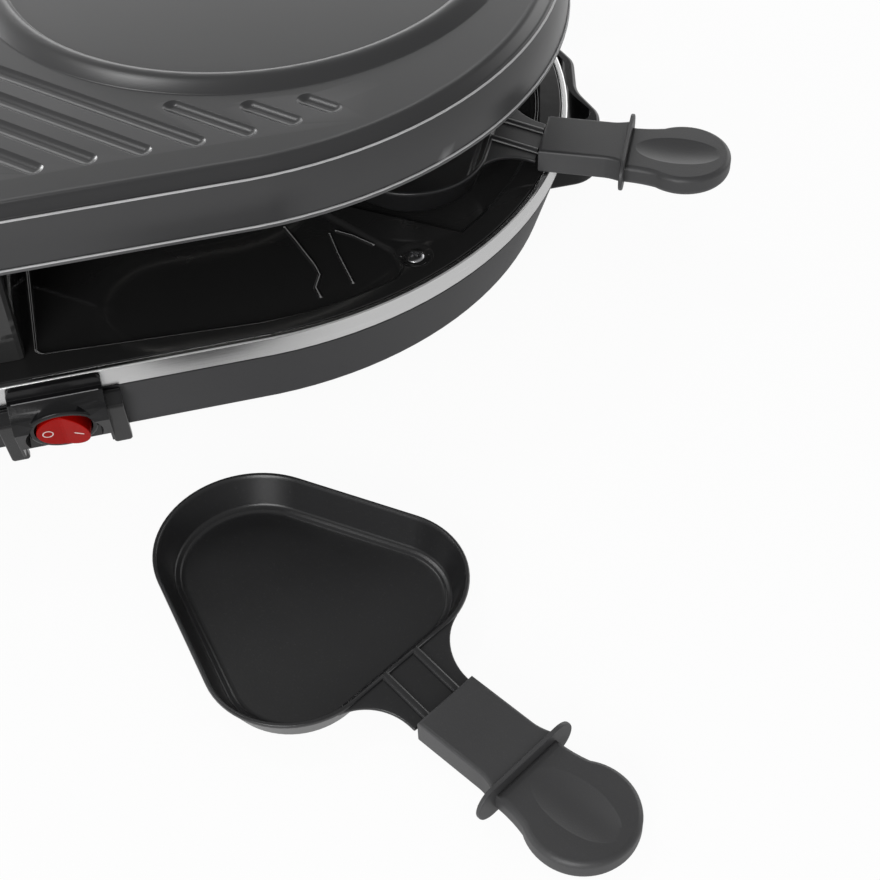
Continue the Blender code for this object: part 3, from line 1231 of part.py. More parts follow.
def build():
    clear_scene()
    grill = Assembly("raclette_grill")
    grill.add(make_shell(), "shell")
    grill.add(make_band(), "band")
    grill.add(make_base_plate(), "shell")
    for name, x, y in (("foot_front_left", -PAD_X, -PAD_Y), ("foot_front_right", PAD_X, -PAD_Y),
                       ("foot_rear_left", -PAD_X, PAD_Y), ("foot_rear_right", PAD_X, PAD_Y)):
        grill.add(make_pad(name), "rubber", location=(x, y, 0))
    grill.add(make_tray(), "enamel")
    for number, (x, y) in enumerate(screw_places(), 1):
        grill.add(make_screw(f"tray_screw_{number}"), "steel", location=(x, y, 0))
    grill.add(make_bridge(), "enamel")
    grill.add(make_terminal_block(), "ceramic")
    for lead in make_leads():
        grill.add(lead, "sleeve")
    for side, word in ((-1, "left"), (1, "right")):
        element = tube(f"heating_element_{word}", element_path(), ELEMENT_RADIUS)
        if side < 0:
            element.data = mirrored(element.data, FLIP_X)
        grill.add(element, "element")
        grill.add(make_bracket(f"element_bracket_{word}", side), "steel")
        grill.add(make_post(f"plate_support_{word}", side), "enamel")
        grill.add(make_side_handle(f"side_handle_{word}", side), "black")
    grill.add(make_housing(), "black")
    switch_place = wall_matrix(HOUSING_X, SWITCH_LEVEL, SWITCH_STAND)
    turn = switch_place.to_euler()
    grill.add(make_switch_body(), "black", location=switch_place.translation, rotation=turn)
    grill.add(make_rocker(), "red", location=switch_place.translation, rotation=turn)
    inlet_place = wall_matrix(INLET_X, INLET_LEVEL, 0, 1)
    grill.add(make_inlet(), "black", location=inlet_place.translation, rotation=inlet_place.to_euler())
    grill.add(make_plate(), "plate")
    pan_mesh = make_pan_mesh()
    handle_mesh = make_pan_handle_mesh()
    for name, place, turn in pan_places():
        seat = grill.empty(f"place_{name}", grill.root, place, (0, 0, turn))
        grill.add(link(f"pan_{name}", pan_mesh), "pan", parent=seat)
        grill.add(link(f"pan_handle_{name}", handle_mesh), "grey", parent=seat)
    bpy.context.view_layer.update()


build()
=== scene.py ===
import math

import bmesh
import bpy
from mathutils import Matrix, Vector


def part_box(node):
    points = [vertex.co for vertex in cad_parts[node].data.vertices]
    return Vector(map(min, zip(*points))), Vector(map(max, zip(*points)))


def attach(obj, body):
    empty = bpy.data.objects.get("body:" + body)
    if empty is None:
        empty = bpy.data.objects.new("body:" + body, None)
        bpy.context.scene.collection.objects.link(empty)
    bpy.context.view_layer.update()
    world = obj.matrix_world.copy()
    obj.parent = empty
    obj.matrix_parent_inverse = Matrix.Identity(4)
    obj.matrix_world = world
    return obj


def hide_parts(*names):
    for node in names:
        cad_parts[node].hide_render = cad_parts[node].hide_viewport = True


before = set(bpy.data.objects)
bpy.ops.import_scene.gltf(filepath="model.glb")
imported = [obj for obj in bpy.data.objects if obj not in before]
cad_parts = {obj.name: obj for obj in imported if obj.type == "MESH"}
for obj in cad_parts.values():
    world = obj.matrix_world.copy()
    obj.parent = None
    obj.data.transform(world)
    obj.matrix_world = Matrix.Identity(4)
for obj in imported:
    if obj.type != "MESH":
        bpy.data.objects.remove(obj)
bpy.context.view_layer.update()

# Raclette grill, dressed for a product picture. Metres, +Z up, the switch side towards -Y.
# Sizes in the dictionaries and in the drawing calls are millimetres.

mm = 0.001
degree = math.pi / 180
quarterTurn = math.pi / 2
wholeTurn = 2 * math.pi

plateLow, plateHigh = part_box("grill_plate")
grillCentre = Vector(((plateLow.x + plateHigh.x) / 2, (plateLow.y + plateHigh.y) / 2, 0))
grillPlace = Matrix.Translation(grillCentre)

ovalHalf = 87.7  # the two round ends turn about points this far from the middle
ovalSteps = 126  # never a point on the middle line, so the halves pull apart cleanly
mirrors = [Matrix.Diagonal((x, y, 1, 1)) for y in (1, -1) for x in (1, -1)]  # to the four quarters

far = 60  # long enough to cut right through a wall

# points nearer than these become one, faces flatter than these (degrees) become one
clean = dict(
    drawn=0.001, softened=0.005, shaded=0.002, softFlat=0.05, shadeFlat=0.2)


# Modelling by hand, as short steps. A drawn piece stays in edit mode until the next one is taken up.

def leaveEdit():
    if bpy.context.object and bpy.context.object.mode != "OBJECT":
        bpy.ops.object.mode_set(mode="OBJECT")


def letGo():
    leaveEdit()
    bpy.ops.object.select_all(action="DESELECT")


def takeUp(piece):
    letGo()
    piece.select_set(True)
    bpy.context.view_layer.objects.active = piece


def openUp(piece):
    takeUp(piece)
    bpy.ops.object.mode_set(mode="EDIT")
    bpy.ops.mesh.select_all(action="SELECT")


def faceOut():
    bpy.ops.mesh.select_all(action="SELECT")
    bpy.ops.mesh.normals_make_consistent(inside=False)


def applyChange(piece, kind, **settings):
    takeUp(piece)
    change = piece.modifiers.new(kind, kind)
    for name, value in settings.items():
        setattr(change, name, value)
    bpy.ops.object.modifier_apply(modifier=change.name)
    return piece


def pickFaces(test):
    bpy.ops.mesh.select_mode(type="FACE")
    bpy.ops.mesh.select_all(action="DESELECT")
    data = bpy.context.object.data
    shape = bmesh.from_edit_mesh(data)
    shape.normal_update()
    for face in shape.faces:
        face.select_set(bool(test(face.calc_center_median(), face.normal)))
    bmesh.update_edit_mesh(data)


def drawLoop(name, points, filled):
    # a round of as many points is added, and each point is pulled to its place
    letGo()
    bpy.ops.mesh.primitive_circle_add(vertices=len(points), radius=10 * mm,
                                      fill_type="NGON" if filled else "NOTHING")
    piece = bpy.context.object
    piece.name = piece.data.name = name
    bpy.ops.object.mode_set(mode="EDIT")
    shape = bmesh.from_edit_mesh(piece.data)
    for corner, point in zip(shape.verts, points):
        corner.co = [value * mm for value in point]
    shape.normal_update()
    bmesh.update_edit_mesh(piece.data)
    return piece


def drawSlab(name, outline, low, high):
    # a flat outline, extruded upwards
    piece = drawLoop(name, [(x, y, low) for x, y in outline], True)
    bpy.ops.mesh.select_all(action="SELECT")
    bpy.ops.mesh.extrude_region_move(TRANSFORM_OT_translate={"value": (0, 0, high * mm - low * mm)})
    faceOut()
    return piece


def drawBox(name, left, front, right, back, low, high):
    return drawSlab(name, [(left, front), (right, front), (right, back), (left, back)], low, high)


def drawBar(name, radius, low, high, steps):
    return drawSlab(name, arc(0, 0, radius, 0, wholeTurn, steps)[:-1], low, high)


def stepFace(up, steps):
    # the top or bottom face is drawn in and moved outwards, ring after ring
    pickFaces(lambda centre, normal: normal.z * up > 0.999)
    for drawIn, rise in steps:
        bpy.ops.mesh.inset(thickness=drawIn * mm, depth=rise * mm, use_even_offset=True)


def turnProfile(name, profile, steps):
    # a profile of (radius, height) points, spun once round
    piece = drawLoop(name, [(radius, 0, height) for radius, height in profile], False)
    bpy.ops.mesh.select_all(action="SELECT")
    bpy.ops.mesh.spin(steps=steps, angle=wholeTurn, center=(0, 0, 0), axis=(0, 0, 1))
    bpy.ops.mesh.select_all(action="SELECT")
    bpy.ops.mesh.remove_doubles(threshold=clean["drawn"] * mm)
    bpy.ops.mesh.delete_loose(use_verts=True, use_edges=True, use_faces=False)
    faceOut()
    return piece


def turnOval(name, profile):
    # spun, and its two halves pulled apart to the ends of the oval
    piece = turnProfile(name, profile, ovalSteps)
    for side in (-1, 1):
        bpy.ops.mesh.select_mode(type="VERT")
        bpy.ops.mesh.select_all(action="DESELECT")
        shape = bmesh.from_edit_mesh(piece.data)
        for corner in shape.verts:
            corner.select_set(corner.co.x * side > 0)
        shape.select_flush_mode()
        bmesh.update_edit_mesh(piece.data)
        bpy.ops.transform.translate(value=(side * ovalHalf * mm, 0, 0))
    return piece


def combine(piece, tool, operation):
    applyChange(piece, "BOOLEAN", operation=operation, solver="MANIFOLD", object=tool)
    bpy.data.objects.remove(tool, do_unlink=True)
    return piece


def cutAway(piece, tool):
    return combine(piece, tool, "DIFFERENCE")


def weldOn(piece, tool):
    return combine(piece, tool, "UNION")


def joinUp(pieces):
    takeUp(pieces[0])
    for piece in pieces[1:]:
        piece.select_set(True)
    bpy.ops.object.join()
    return bpy.context.object


def copyOf(piece, name):
    twin = piece.copy()
    twin.data = piece.data.copy()
    twin.name = twin.data.name = name
    bpy.context.scene.collection.objects.link(twin)
    return twin


def addObject(name, data):
    thing = bpy.data.objects.new(name, data)
    bpy.context.scene.collection.objects.link(thing)
    return thing


def shift(x, y=0, z=0):
    return Matrix.Translation((x * mm, y * mm, z * mm))


def turned(axis, angle=quarterTurn):
    return Matrix.Rotation(angle, 4, axis)


def layDown(piece, matrix):
    # puts the place into the mesh; a mirrored piece gets its faces turned out again
    takeUp(piece)
    piece.matrix_world = matrix @ piece.matrix_world
    bpy.ops.object.transform_apply(location=True, rotation=True, scale=True)
    if matrix.determinant() < 0:
        openUp(piece)
        faceOut()
        leaveEdit()
    return piece


def softenEdges(piece, width, segments=2, angle=28):
    openUp(piece)
    bpy.ops.mesh.remove_doubles(threshold=clean["softened"] * mm)
    bpy.ops.mesh.dissolve_limited(angle_limit=clean["softFlat"] * degree)
    return applyChange(piece, "BEVEL", width=width * mm, segments=segments, limit_method="ANGLE",
                       angle_limit=angle * degree)


def finishPiece(piece, body, nodes, finish, matrix=grillPlace, angle=50, weight=60):
    layDown(piece, matrix)
    openUp(piece)
    bpy.ops.mesh.remove_doubles(threshold=clean["shaded"] * mm)
    bpy.ops.mesh.dissolve_limited(angle_limit=clean["shadeFlat"] * degree)
    leaveEdit()
    bpy.ops.object.shade_smooth_by_angle(angle=angle * degree)
    applyChange(piece, "WEIGHTED_NORMAL", keep_sharp=True, weight=weight)
    piece.data.materials.clear()
    piece.data.materials.append(finishes[finish])
    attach(piece, body)
    if nodes:
        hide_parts(*nodes)


# Flat outlines

def arc(centreX, centreY, radius, start, end, steps):
    turns = [start + (end - start) * step / steps for step in range(steps + 1)]
    return [(centreX + radius * math.cos(turn), centreY + radius * math.sin(turn)) for turn in turns]


def ovalLoop(radius):
    turns = [wholeTurn * (step + 0.5) / ovalSteps for step in range(ovalSteps)]
    return [(math.copysign(ovalHalf, math.cos(turn)) + radius * math.cos(turn), radius * math.sin(turn))
            for turn in turns]


def roundedLoop(corners, steps=8):
    # corners are (x, y, radius), counter-clockwise
    points = []
    for number, (x, y, radius) in enumerate(corners):
        here = Vector((x, y))
        if radius == 0:
            points.append((x, y))
            continue
        back = (Vector(corners[number - 1][:2]) - here).normalized()
        ahead = (Vector(corners[(number + 1) % len(corners)][:2]) - here).normalized()
        half = back.angle(ahead) / 2
        centre = here + (back + ahead).normalized() * radius / math.sin(half)
        spoke = here + back * radius / math.tan(half) - centre
        sweep = math.copysign(math.pi - 2 * half, ahead.x * back.y - ahead.y * back.x)
        start = math.atan2(spoke.y, spoke.x)
        points.extend(arc(centre.x, centre.y, radius, start, start + sweep, steps))
    return points


# Finishes

def hexColour(text):
    channels = [int(text[start:start + 2], 16) / 255 for start in (1, 3, 5)]
    return (*[level / 12.92 if level <= 0.04045 else ((level + 0.055) / 1.055) ** 2.4
              for level in channels], 1)


def addNode(tree, kind, sockets=None, **settings):
    node = tree.nodes.new(kind)
    for name, value in settings.items():
        setattr(node, name, value)
    for socket, value in (sockets or {}).items():
        if isinstance(value, bpy.types.NodeSocket):
            tree.links.new(value, node.inputs[socket])
        else:
            node.inputs[socket].default_value = value
    return node


def clearTree(owner):
    owner.use_nodes = True
    owner.node_tree.nodes.clear()
    return owner.node_tree


def addNoise(tree, place, size, detail, rough):
    return addNode(tree, "ShaderNodeTexNoise", {"Vector": place, "Scale": 1 / (size * mm), "Detail": detail,
                                                "Roughness": rough}).outputs["Fac"]


def addRange(tree, value, source, target):
    # spreads the source range over the target range
    return addNode(tree, "ShaderNodeMapRange", {
        "Value": value, "From Min": source[0], "From Max": source[1], "To Min": target[0],
        "To Max": target[1]}).outputs["Result"]


def addMaths(tree, operation, one, two):
    return addNode(tree, "ShaderNodeMath", {0: one, 1: two}, operation=operation).outputs["Value"]


def addMix(tree, share, one, two):
    return addNode(tree, "ShaderNodeMix", {0: share, 6: one, 7: two}, data_type="RGBA").outputs[2]


# where in the noise the flecks lie, which edges are painted pale as wear and as highlight, and how the gloss
# follows the patches
skin = dict(
    fleckRange=(0.62, 0.72), edgeRange=(0.52, 0.6), glossRange=(0.1, 0.9), patchDetail=4,
    patchRough=0.6, grainDetail=2, grainRough=0.5)


def makeFinish(name, look):
    finish = bpy.data.materials.new(name)
    tree = clearTree(finish)
    place = addNode(tree, "ShaderNodeTexCoord")
    laid = addNode(tree, "ShaderNodeMapping", {"Vector": place.outputs["Object"],
                                               "Scale": look.get("stretch", (1, 1, 1))}).outputs["Vector"]
    patches = addNoise(tree, laid, look["patch"], skin["patchDetail"], skin["patchRough"])
    grains = addNoise(tree, laid, look["grain"], skin["grainDetail"], skin["grainRough"])
    scuffAndHighlightTone = hexColour(look["scuffAndHighlightTone"])
    tone = addMix(tree, patches, hexColour(look["dark"]), hexColour(look["light"]))
    flecks = addRange(tree, grains, skin["fleckRange"], (0, look["fleck"]))
    shape = addNode(tree, "ShaderNodeNewGeometry")
    # pale edges from pointiness: partly wear, partly painted highlight
    edges = addRange(tree, shape.outputs["Pointiness"], skin["edgeRange"], (0, look["edgeScuffAndHighlight"]))
    paledEdges = addMaths(tree, "MULTIPLY", edges, patches)
    relief = addNode(tree, "ShaderNodeBump", {"Height": grains, "Distance": look["relief"] * mm,
                                              "Strength": 1})
    shader = addNode(tree, "ShaderNodeBsdfPrincipled", {
        "Base Color": addMix(tree, paledEdges, addMix(tree, flecks, tone, scuffAndHighlightTone), scuffAndHighlightTone),
        "Roughness": addRange(tree, patches, skin["glossRange"], look["rough"]),
        "Normal": relief.outputs["Normal"], "Metallic": look.get("metal", 0),
        "Specular IOR Level": look.get("sheen", 0.5)})
    addNode(tree, "ShaderNodeOutputMaterial", {"Surface": shader.outputs["BSDF"]})
    return finish


# Three tones, the sizes of both noises, the height of the grain, the range of roughness, flecks and edges
# painted pale as wear and highlight; where it isn't the usual value, also the sheen, the share of metal and
# the stretch of the noise.
lookWords = ("dark", "light", "scuffAndHighlightTone", "patch", "grain", "relief", "rough", "fleck", "edgeScuffAndHighlight", "sheen", "metal",
             "stretch")
finishLooks = {
    # sprayed fluoropolymer on die-cast aluminium: satin, a fine orange peel, its edges painted paler as wear
    # and as highlight
    "nonStickCast": ("#323233", "#373738", "#a4a4a5", 70, 0.8, 0.006, (0.27, 0.31), 0, 1.2),
    # a painted highlight line on the same coating: pale, silky
    "paintedHighlightCoating": ("#a8a8a9", "#c8c8c9", "#e0e0e0", 25, 0.6, 0.004, (0.28, 0.36), 0.2, 0.1),
    # the same coating on pressed steel: darker, a little more grain, its rims painted a little paler as wear
    # and as highlight
    "nonStickPressed": ("#1e1e1f", "#262627", "#5c5c5d", 45, 0.7, 0.02, (0.26, 0.34), 0.1, 0.35),
    # vitreous enamel fired on steel: deep black and wet looking, with a slow wave from the firing
    "blackEnamel": ("#262626", "#2b2b2b", "#4c4c4c", 60, 14, 0.05, (0.03, 0.06), 0, 0.2),
    # a painted reflection on the same glass along the crest of a crease: grey and silky
    "paintedReflectionEnamel": ("#8a8a8a", "#b4b4b4", "#d0d0d0", 12, 0.6, 0.004, (0.2, 0.3), 0.1, 0.1),
    # powder-coated steel: dark grey, matt, with a pebbled skin
    "powderCoat": ("#28282a", "#2f2f31", "#6a6a6a", 80, 0.6, 0.04, (0.45, 0.55), 0.05, 0.3, 0.35),
    # stainless strip, brushed along its length
    "brushedStainless": ("#c8c8c8", "#e4e4e4", "#f2f2f2", 30, 0.9, 0.01, (0.2, 0.32), 0.2, 0.3, 0.5, 1,
                         (0.04, 0.04, 1)),
    # zinc-plated mild steel, bright with a faint cloud
    "zincPlate": ("#a2a2a4", "#c6c6c8", "#e8e8e8", 6, 0.8, 0.01, (0.22, 0.36), 0.1, 0.3, 0.5, 1),
    # nickel-chrome tube sheath, browned and dulled by heat
    "heatedSheath": ("#a8a6a2", "#ccc9c4", "#e2e0dc", 12, 0.6, 0.01, (0.3, 0.42), 0.15, 0.3, 0.5, 0.6),
    # moulded nylon, shiny black, its edges painted greyer as wear and as highlight
    "blackNylon": ("#151516", "#1b1b1c", "#4a4a4b", 25, 0.5, 0.02, (0.14, 0.2), 0.02, 0.6, 0.22),
    # a painted highlight on the same nylon along an edge: pale grey
    "paintedHighlightNylon": ("#6c6c6d", "#909091", "#a8a8a8", 12, 0.5, 0.01, (0.25, 0.35), 0.2, 0.1),
    # moulded phenolic handles, matt dark grey
    "greyPhenolic": ("#383839", "#3e3e3f", "#707071", 30, 0.6, 0.03, (0.42, 0.52), 0.08, 0.35),
    # moulded red polycarbonate, smooth
    "redPolycarbonate": ("#960602", "#aa0a04", "#d04a40", 8, 0.5, 0.01, (0.22, 0.3), 0, 0.1, 0.05),
    # pad-printed marks, white and flat
    "whitePrint": ("#e6d6d2", "#f4e9e6", "#ffffff", 4, 0.4, 0.005, (0.4, 0.5), 0.1, 0.1),
    # moulded rubber, dull, with a dusty edge
    "blackRubber": ("#121212", "#1a1a1a", "#4a4a4a", 10, 0.5, 0.04, (0.75, 0.9), 0.1, 0.4),
    # unglazed steatite, chalky
    "steatite": ("#d8d2c4", "#e6e1d6", "#f6f3ec", 8, 0.5, 0.03, (0.6, 0.75), 0.2, 0.2),
    # braided glass-fibre sleeve, dull and woven
    "glassSleeve": ("#8c8a84", "#b4b2ac", "#d6d4ce", 3, 0.5, 0.08, (0.65, 0.8), 0.3, 0.2),
}
finishes = {name: makeFinish(name, dict(zip(lookWords, row))) for name, row in finishLooks.items()}
print("finishes ready:", len(finishes))


# Grill plate: skirt, crest, plateau with channels and a crepe ring

plate = dict(
    top=110.0, skirtBottom=89.0, footHeight=0.6, thickness=5.0, radius=147.7,
    # (run, rise): foot bead, the skirt leaning in more and more, the crest, its hollow and the plateau
    outside=((0.1, 0.35), (0.15, 0.2), (0.2, 0.04), (0.15, -0.06), (0.1, 0.27), (0.15, 5.4), (0.35, 4.0),
             (0.55, 3.3), (0.7, 3.0), (0.1, 0.4), (0.15, 0.3), (0.25, 0.17), (0.3, 0.03), (0.35, -0.08),
             (0.45, -0.16), (0.4, -0.02), (0.4, 0.12), (0.4, 0.35), (1.9, 1.85), (0.5, 0.45),
             (0.5, 0.27), (0.5, 0.14), (0.5, 0.05), (0.6, -0.02), (0.7, -0.04), (0.7, 0.0)),
    footEdge=((0.2, 0.35), (0.35, 0.28), (0.5, 0.12), (0.6, -0.12), (1.55, -0.35)),
    insideLean=2.16, insideRound=1.2, insideRise=1.0,
    crepeX=113.0, crepeRadius=90.5, beadWidth=12.6, beadHeight=2.8, beadSink=2, beadSteps=128,
    bead=((-0.03, -0.1), (0.03, 0.1), (0.08, 0.42), (0.14, 0.72), (0.22, 0.92), (0.32, 1.0), (0.44, 0.97),
          (0.56, 0.86), (0.7, 0.62), (0.84, 0.34), (0.95, 0.1), (1.03, -0.1)),
    pitch=17.3, first=-253.8, count=22, edgeRadius=126.0, crepeClear=108.0, least=15.5,
    samples=1200, width=6.6, depth=1.15, mouth=((0.54, 0.06), (0.36, 0.12)), rounds=7, endSteps=14,
    # (name, radius, height, thickness) of the pale painted highlight lines
    paledEdges=(("crestLine", 144.78, 106.8, 0.4), ("footLine", 147.3, 90.05, 0.38)))


def channelRuns():
    # where each 45 degree line stays inside the oval and clear of the crepe ring
    reach = plate["edgeRadius"] + ovalHalf
    runs = []
    for number in range(plate["count"]):
        offset = plate["first"] + number * plate["pitch"]
        run = []
        for sample in range(plate["samples"] + 1):
            x = -reach + 2 * reach * sample / plate["samples"]
            y = offset - x
            nearest = max(-ovalHalf, min(ovalHalf, x))
            kept = (math.hypot(x - nearest, y) <= plate["edgeRadius"]
                    and math.hypot(x - plate["crepeX"], y) >= plate["crepeClear"])
            if kept:
                run.append((x, y))
            if run and (not kept or sample == plate["samples"]):
                if math.dist(run[0], run[-1]) >= plate["least"]:
                    runs.append((Vector(run[0]), Vector(run[-1])))
                run = []
    return runs


def channelCutter(start, end):
    way = (end - start).normalized()
    heading = math.atan2(way.y, way.x)
    radius, depth, top, ends = plate["width"] / 2, plate["depth"], plate["top"], plate["endSteps"]
    first, last = start + way * radius, end - way * radius
    wide = radius + sum(run for run, rise in plate["mouth"])
    loop = arc(last.x, last.y, wide, heading - quarterTurn, heading + quarterTurn, ends)
    loop += arc(first.x, first.y, wide, heading + quarterTurn, heading + 3 * quarterTurn, ends)
    cutter = drawSlab("channel", loop, top + 0.02, top + 2)
    # the mouth rolls over, and below it the section is part of a circle
    circle = (radius ** 2 + depth ** 2) / (2 * depth)
    steepest = math.asin(radius / circle)
    slopes = [steepest * (1 - step / plate["rounds"]) for step in range(plate["rounds"] + 1)]
    rounds = [(circle * (math.sin(one) - math.sin(two)), circle * (math.cos(two) - math.cos(one)))
              for one, two in zip(slopes[:-2], slopes[1:-1])]
    stepFace(-1, list(plate["mouth"]) + rounds)
    return cutter


def makePlate():
    foot, top = plate["skirtBottom"], plate["top"]
    body = drawSlab("grillPlate", ovalLoop(plate["radius"]), foot, foot + plate["footHeight"])
    stepFace(1, plate["outside"])
    stepFace(-1, plate["footEdge"])
    deep = top - plate["thickness"] - foot
    stepFace(-1, [(plate["insideLean"], plate["insideRise"] - deep),
                  (plate["insideRound"], -plate["insideRise"])])
    # a soft crown for the crepe ring, its foot sunk into the plate
    inner, wide, sunk = plate["crepeRadius"], plate["beadWidth"], top - plate["beadSink"]
    bead = [(inner + wide * run, top + plate["beadHeight"] * rise) for run, rise in plate["bead"]]
    ring = turnProfile("crepeRing", bead + [(inner + wide, sunk), (inner, sunk)], plate["beadSteps"])
    body = weldOn(body, layDown(ring, shift(plate["crepeX"])))
    cutters = [channelCutter(start, end) for start, end in channelRuns()]
    body = cutAway(body, joinUp(cutters))
    print("grill plate:", len(cutters), "channels,", len(body.data.polygons), "faces")
    # pale painted highlight lines along the crest and along the foot of the skirt
    for name, radius, height, thick in plate["paledEdges"]:
        line = turnOval(name, arc(radius, height, thick, 0, math.pi * 9 / 5, 9))
        finishPiece(line, "grill_plate", [], "paintedHighlightCoating")
    finishPiece(body, "grill_plate", ["grill_plate"], "nonStickCast", weight=95)


makePlate()


# Base: shell, bright band, enamel tray

base = dict(
    shellBottom=6.8, shoulder=34.0, bottomRadius=139.3, topRadius=147.9, wall=2.5,
    flange=9.3, flangeThick=2.0, upstandRadius=145.2, upstandWall=2.6, upstandTop=39.2,
    bandTop=42.5, bandRadius=148.0, bandWall=2.5, bandGap=0.3, bandRound=0.8,
    fit=0.32,  # the gap between the shell and what is fixed on it
    # (x, height, side, radius): the switch at the front, the inlet at the back
    holeReach=30, holeSteps=48, holes=((15.5, 24.0, -1, 9.7), (-40.0, 20.0, 1, 5.7)))


def shellRadius(height):
    share = (height - base["shellBottom"]) / (base["shoulder"] - base["shellBottom"])
    return base["bottomRadius"] + (base["topRadius"] - base["bottomRadius"]) * share


wallTilt = math.atan((base["topRadius"] - base["bottomRadius"]) / (base["shoulder"] - base["shellBottom"]))


def wallPlace(x, height, stand, side=-1):
    # on the sloping wall: X along it, Y up its slope, Z outwards
    wall = turned("Z", 0 if side < 0 else math.pi) @ turned("X", quarterTurn + wallTilt)
    foot = Vector((x, side * shellRadius(height), height)) * mm + wall @ Vector((0, 0, stand * mm))
    return Matrix.Translation(foot) @ wall


def makeShell():
    low, top, upstandTop = base["shellBottom"], base["shoulder"], base["upstandTop"]
    upstand, bottom, wide = base["upstandRadius"], base["bottomRadius"], base["topRadius"]
    innerLow, inner = low + base["flangeThick"], upstand - base["upstandWall"]
    shell = turnOval("baseShell", [
        (upstand - 0.4, upstandTop), (upstand, upstandTop - 0.4), (upstand, top), (wide - 0.5, top),
        (wide - 0.1, top - 0.15), (shellRadius(top - 0.6), top - 0.6), (shellRadius(low + 1.4), low + 1.4),
        (shellRadius(low + 0.7) - 0.15, low + 0.6), (bottom - 0.6, low + 0.15), (bottom - 1.2, low),
        (bottom - base["flange"], low), (bottom - base["flange"], innerLow),
        (shellRadius(innerLow) - base["wall"], innerLow), (inner, top - base["upstandWall"]),
        (inner, upstandTop)])
    for x, height, side, radius in base["holes"]:
        hole = drawBar("hole", radius, -base["holeReach"], base["holeReach"], base["holeSteps"])
        shell = cutAway(shell, layDown(hole, wallPlace(x, height, 0, side)))
    finishPiece(shell, "grill", ["base_shell"], "powderCoat")


def makeBand():
    radius, inner, small = base["bandRadius"], base["bandRadius"] - base["bandWall"], base["bandRound"]
    top, low = base["bandTop"], base["shoulder"] + base["bandGap"]
    profile = [(radius - 0.3, low), (radius, low + 0.3)]
    profile += arc(radius - small, top - small, small, 0, quarterTurn, 5)
    profile += arc(inner + small, top - small, small, quarterTurn, 2 * quarterTurn, 4) + [(inner, low)]
    finishPiece(turnOval("trimBand", profile), "grill", ["trim_band"], "brushedStainless")


tray = dict(
    top=42.3, thickness=2.8, radius=145.2, recess=1.5, edge=((0.1, 0.2), (0.2, 0.1)),
    # the recesses: wide and rolled over at the mouth, round at the foot
    recessSteps=((0.5, 0.07), (0.35, 0.18), (0.3, 0.3), (0.3, 0.4), (0.3, 0.3), (0.4, 0.18), (0.5, 0.08)),
    spine=14.0, bridgeEdge=134.6, bridgeSide=10.2, rimRadius=139.5, rimStart=-88.0,
    rimGap=3.0, cornerAngle=-66.0, cornerX=142.5, cornerY=112.0, ribX=123.7, ribY=84.8,
    ribRound=12.0, innerX=92.0, innerY=40.4, round=9.0, endRadius=137.0, endAngle=54.0,
    endRibX=128.0, endRibY=81.7, endInnerX=96.3, endInnerY=37.3,
    screwAngle=62.8, screwOrbit=132.8, dimple=7.2,
    dimpleSteps=((0.7, 0.06), (0.8, 0.24), (0.6, 0.4), (0.6, 0.31)), screwHole=2.0, through=8,
    leadSlot=((4, 62, 2), (4, 82, 2), (-4, 82, 2), (-4, 62, 2)),
    # each pressed line: its points, its width
    creases=(([(105.8, -87.0), (108.4, -96.0), (112.6, -112.0), (113.4, -117.9), (110.6, -124.4),
               (111.4, -130.5)], 2.6),
             ([(121.3, -95.5), (122.0, -108.0), (124.0, -126.0)], 2.2),
             ([(123.6, -94.6), (129.5, -99.5), (135.8, -107.0)], 2.2)),
    creaseSink=0.3, creaseHeight=0.75, crestShare=0.3, crestHeight=0.22,
    ridgeSteps=((0.1, 0.12), (0.5, 0.73), (0.15, 0.15)))


def screwPlaces():
    across = ovalHalf + tray["screwOrbit"] * math.cos(tray["screwAngle"] * degree)
    along = tray["screwOrbit"] * math.sin(tray["screwAngle"] * degree)
    return [(side * across, end * along) for end in (-1, 1) for side in (-1, 1)]


def sideRecessLoop():
    rim, corner, spine, soft = tray["rimRadius"], tray["cornerAngle"] * degree, -tray["spine"], tray["round"]
    corners = [(tray["bridgeSide"], spine, soft), (tray["bridgeSide"], -tray["bridgeEdge"], soft / 2),
               (ovalHalf, -rim, 0)]
    corners += [(x, y, 0) for x, y in arc(ovalHalf, 0, rim, tray["rimStart"] * degree,
                                          corner - tray["rimGap"] * degree, 6)]
    corners += [(ovalHalf + rim * math.cos(corner), rim * math.sin(corner), soft),
                (tray["cornerX"], -tray["cornerY"], soft), (tray["ribX"], -tray["ribY"], tray["ribRound"]),
                (tray["innerX"], -tray["innerY"], soft), (tray["innerX"], spine, soft)]
    return roundedLoop(corners)


def endRecessLoop():
    turn, soft = tray["endAngle"] * degree, tray["round"]
    corners = [(tray["endInnerX"], tray["endInnerY"], soft), (tray["endInnerX"], -tray["endInnerY"], soft),
               (tray["endRibX"], -tray["endRibY"], soft)]
    corners += [(x, y, 0) for x, y in arc(ovalHalf, 0, tray["endRadius"], -turn, turn, 30)]
    return roundedLoop(corners + [(tray["endRibX"], tray["endRibY"], soft)])


def drawRidge(name, points, width, foot, height):
    # a low embossed line along the points, softly crowned
    left, right = [], []
    for number, here in enumerate(points):
        before = Vector(points[max(number - 1, 0)])
        after = Vector(points[min(number + 1, len(points) - 1)])
        way = (after - before).normalized()
        aside = Vector((-way.y, way.x)) * width / 2
        left.append(tuple(Vector(here) + aside))
        right.append(tuple(Vector(here) - aside))
    line = drawSlab(name, right + left[::-1], foot, foot + 0.05)
    stepFace(1, [(run * width / 2, rise * height) for run, rise in tray["ridgeSteps"]])
    return line


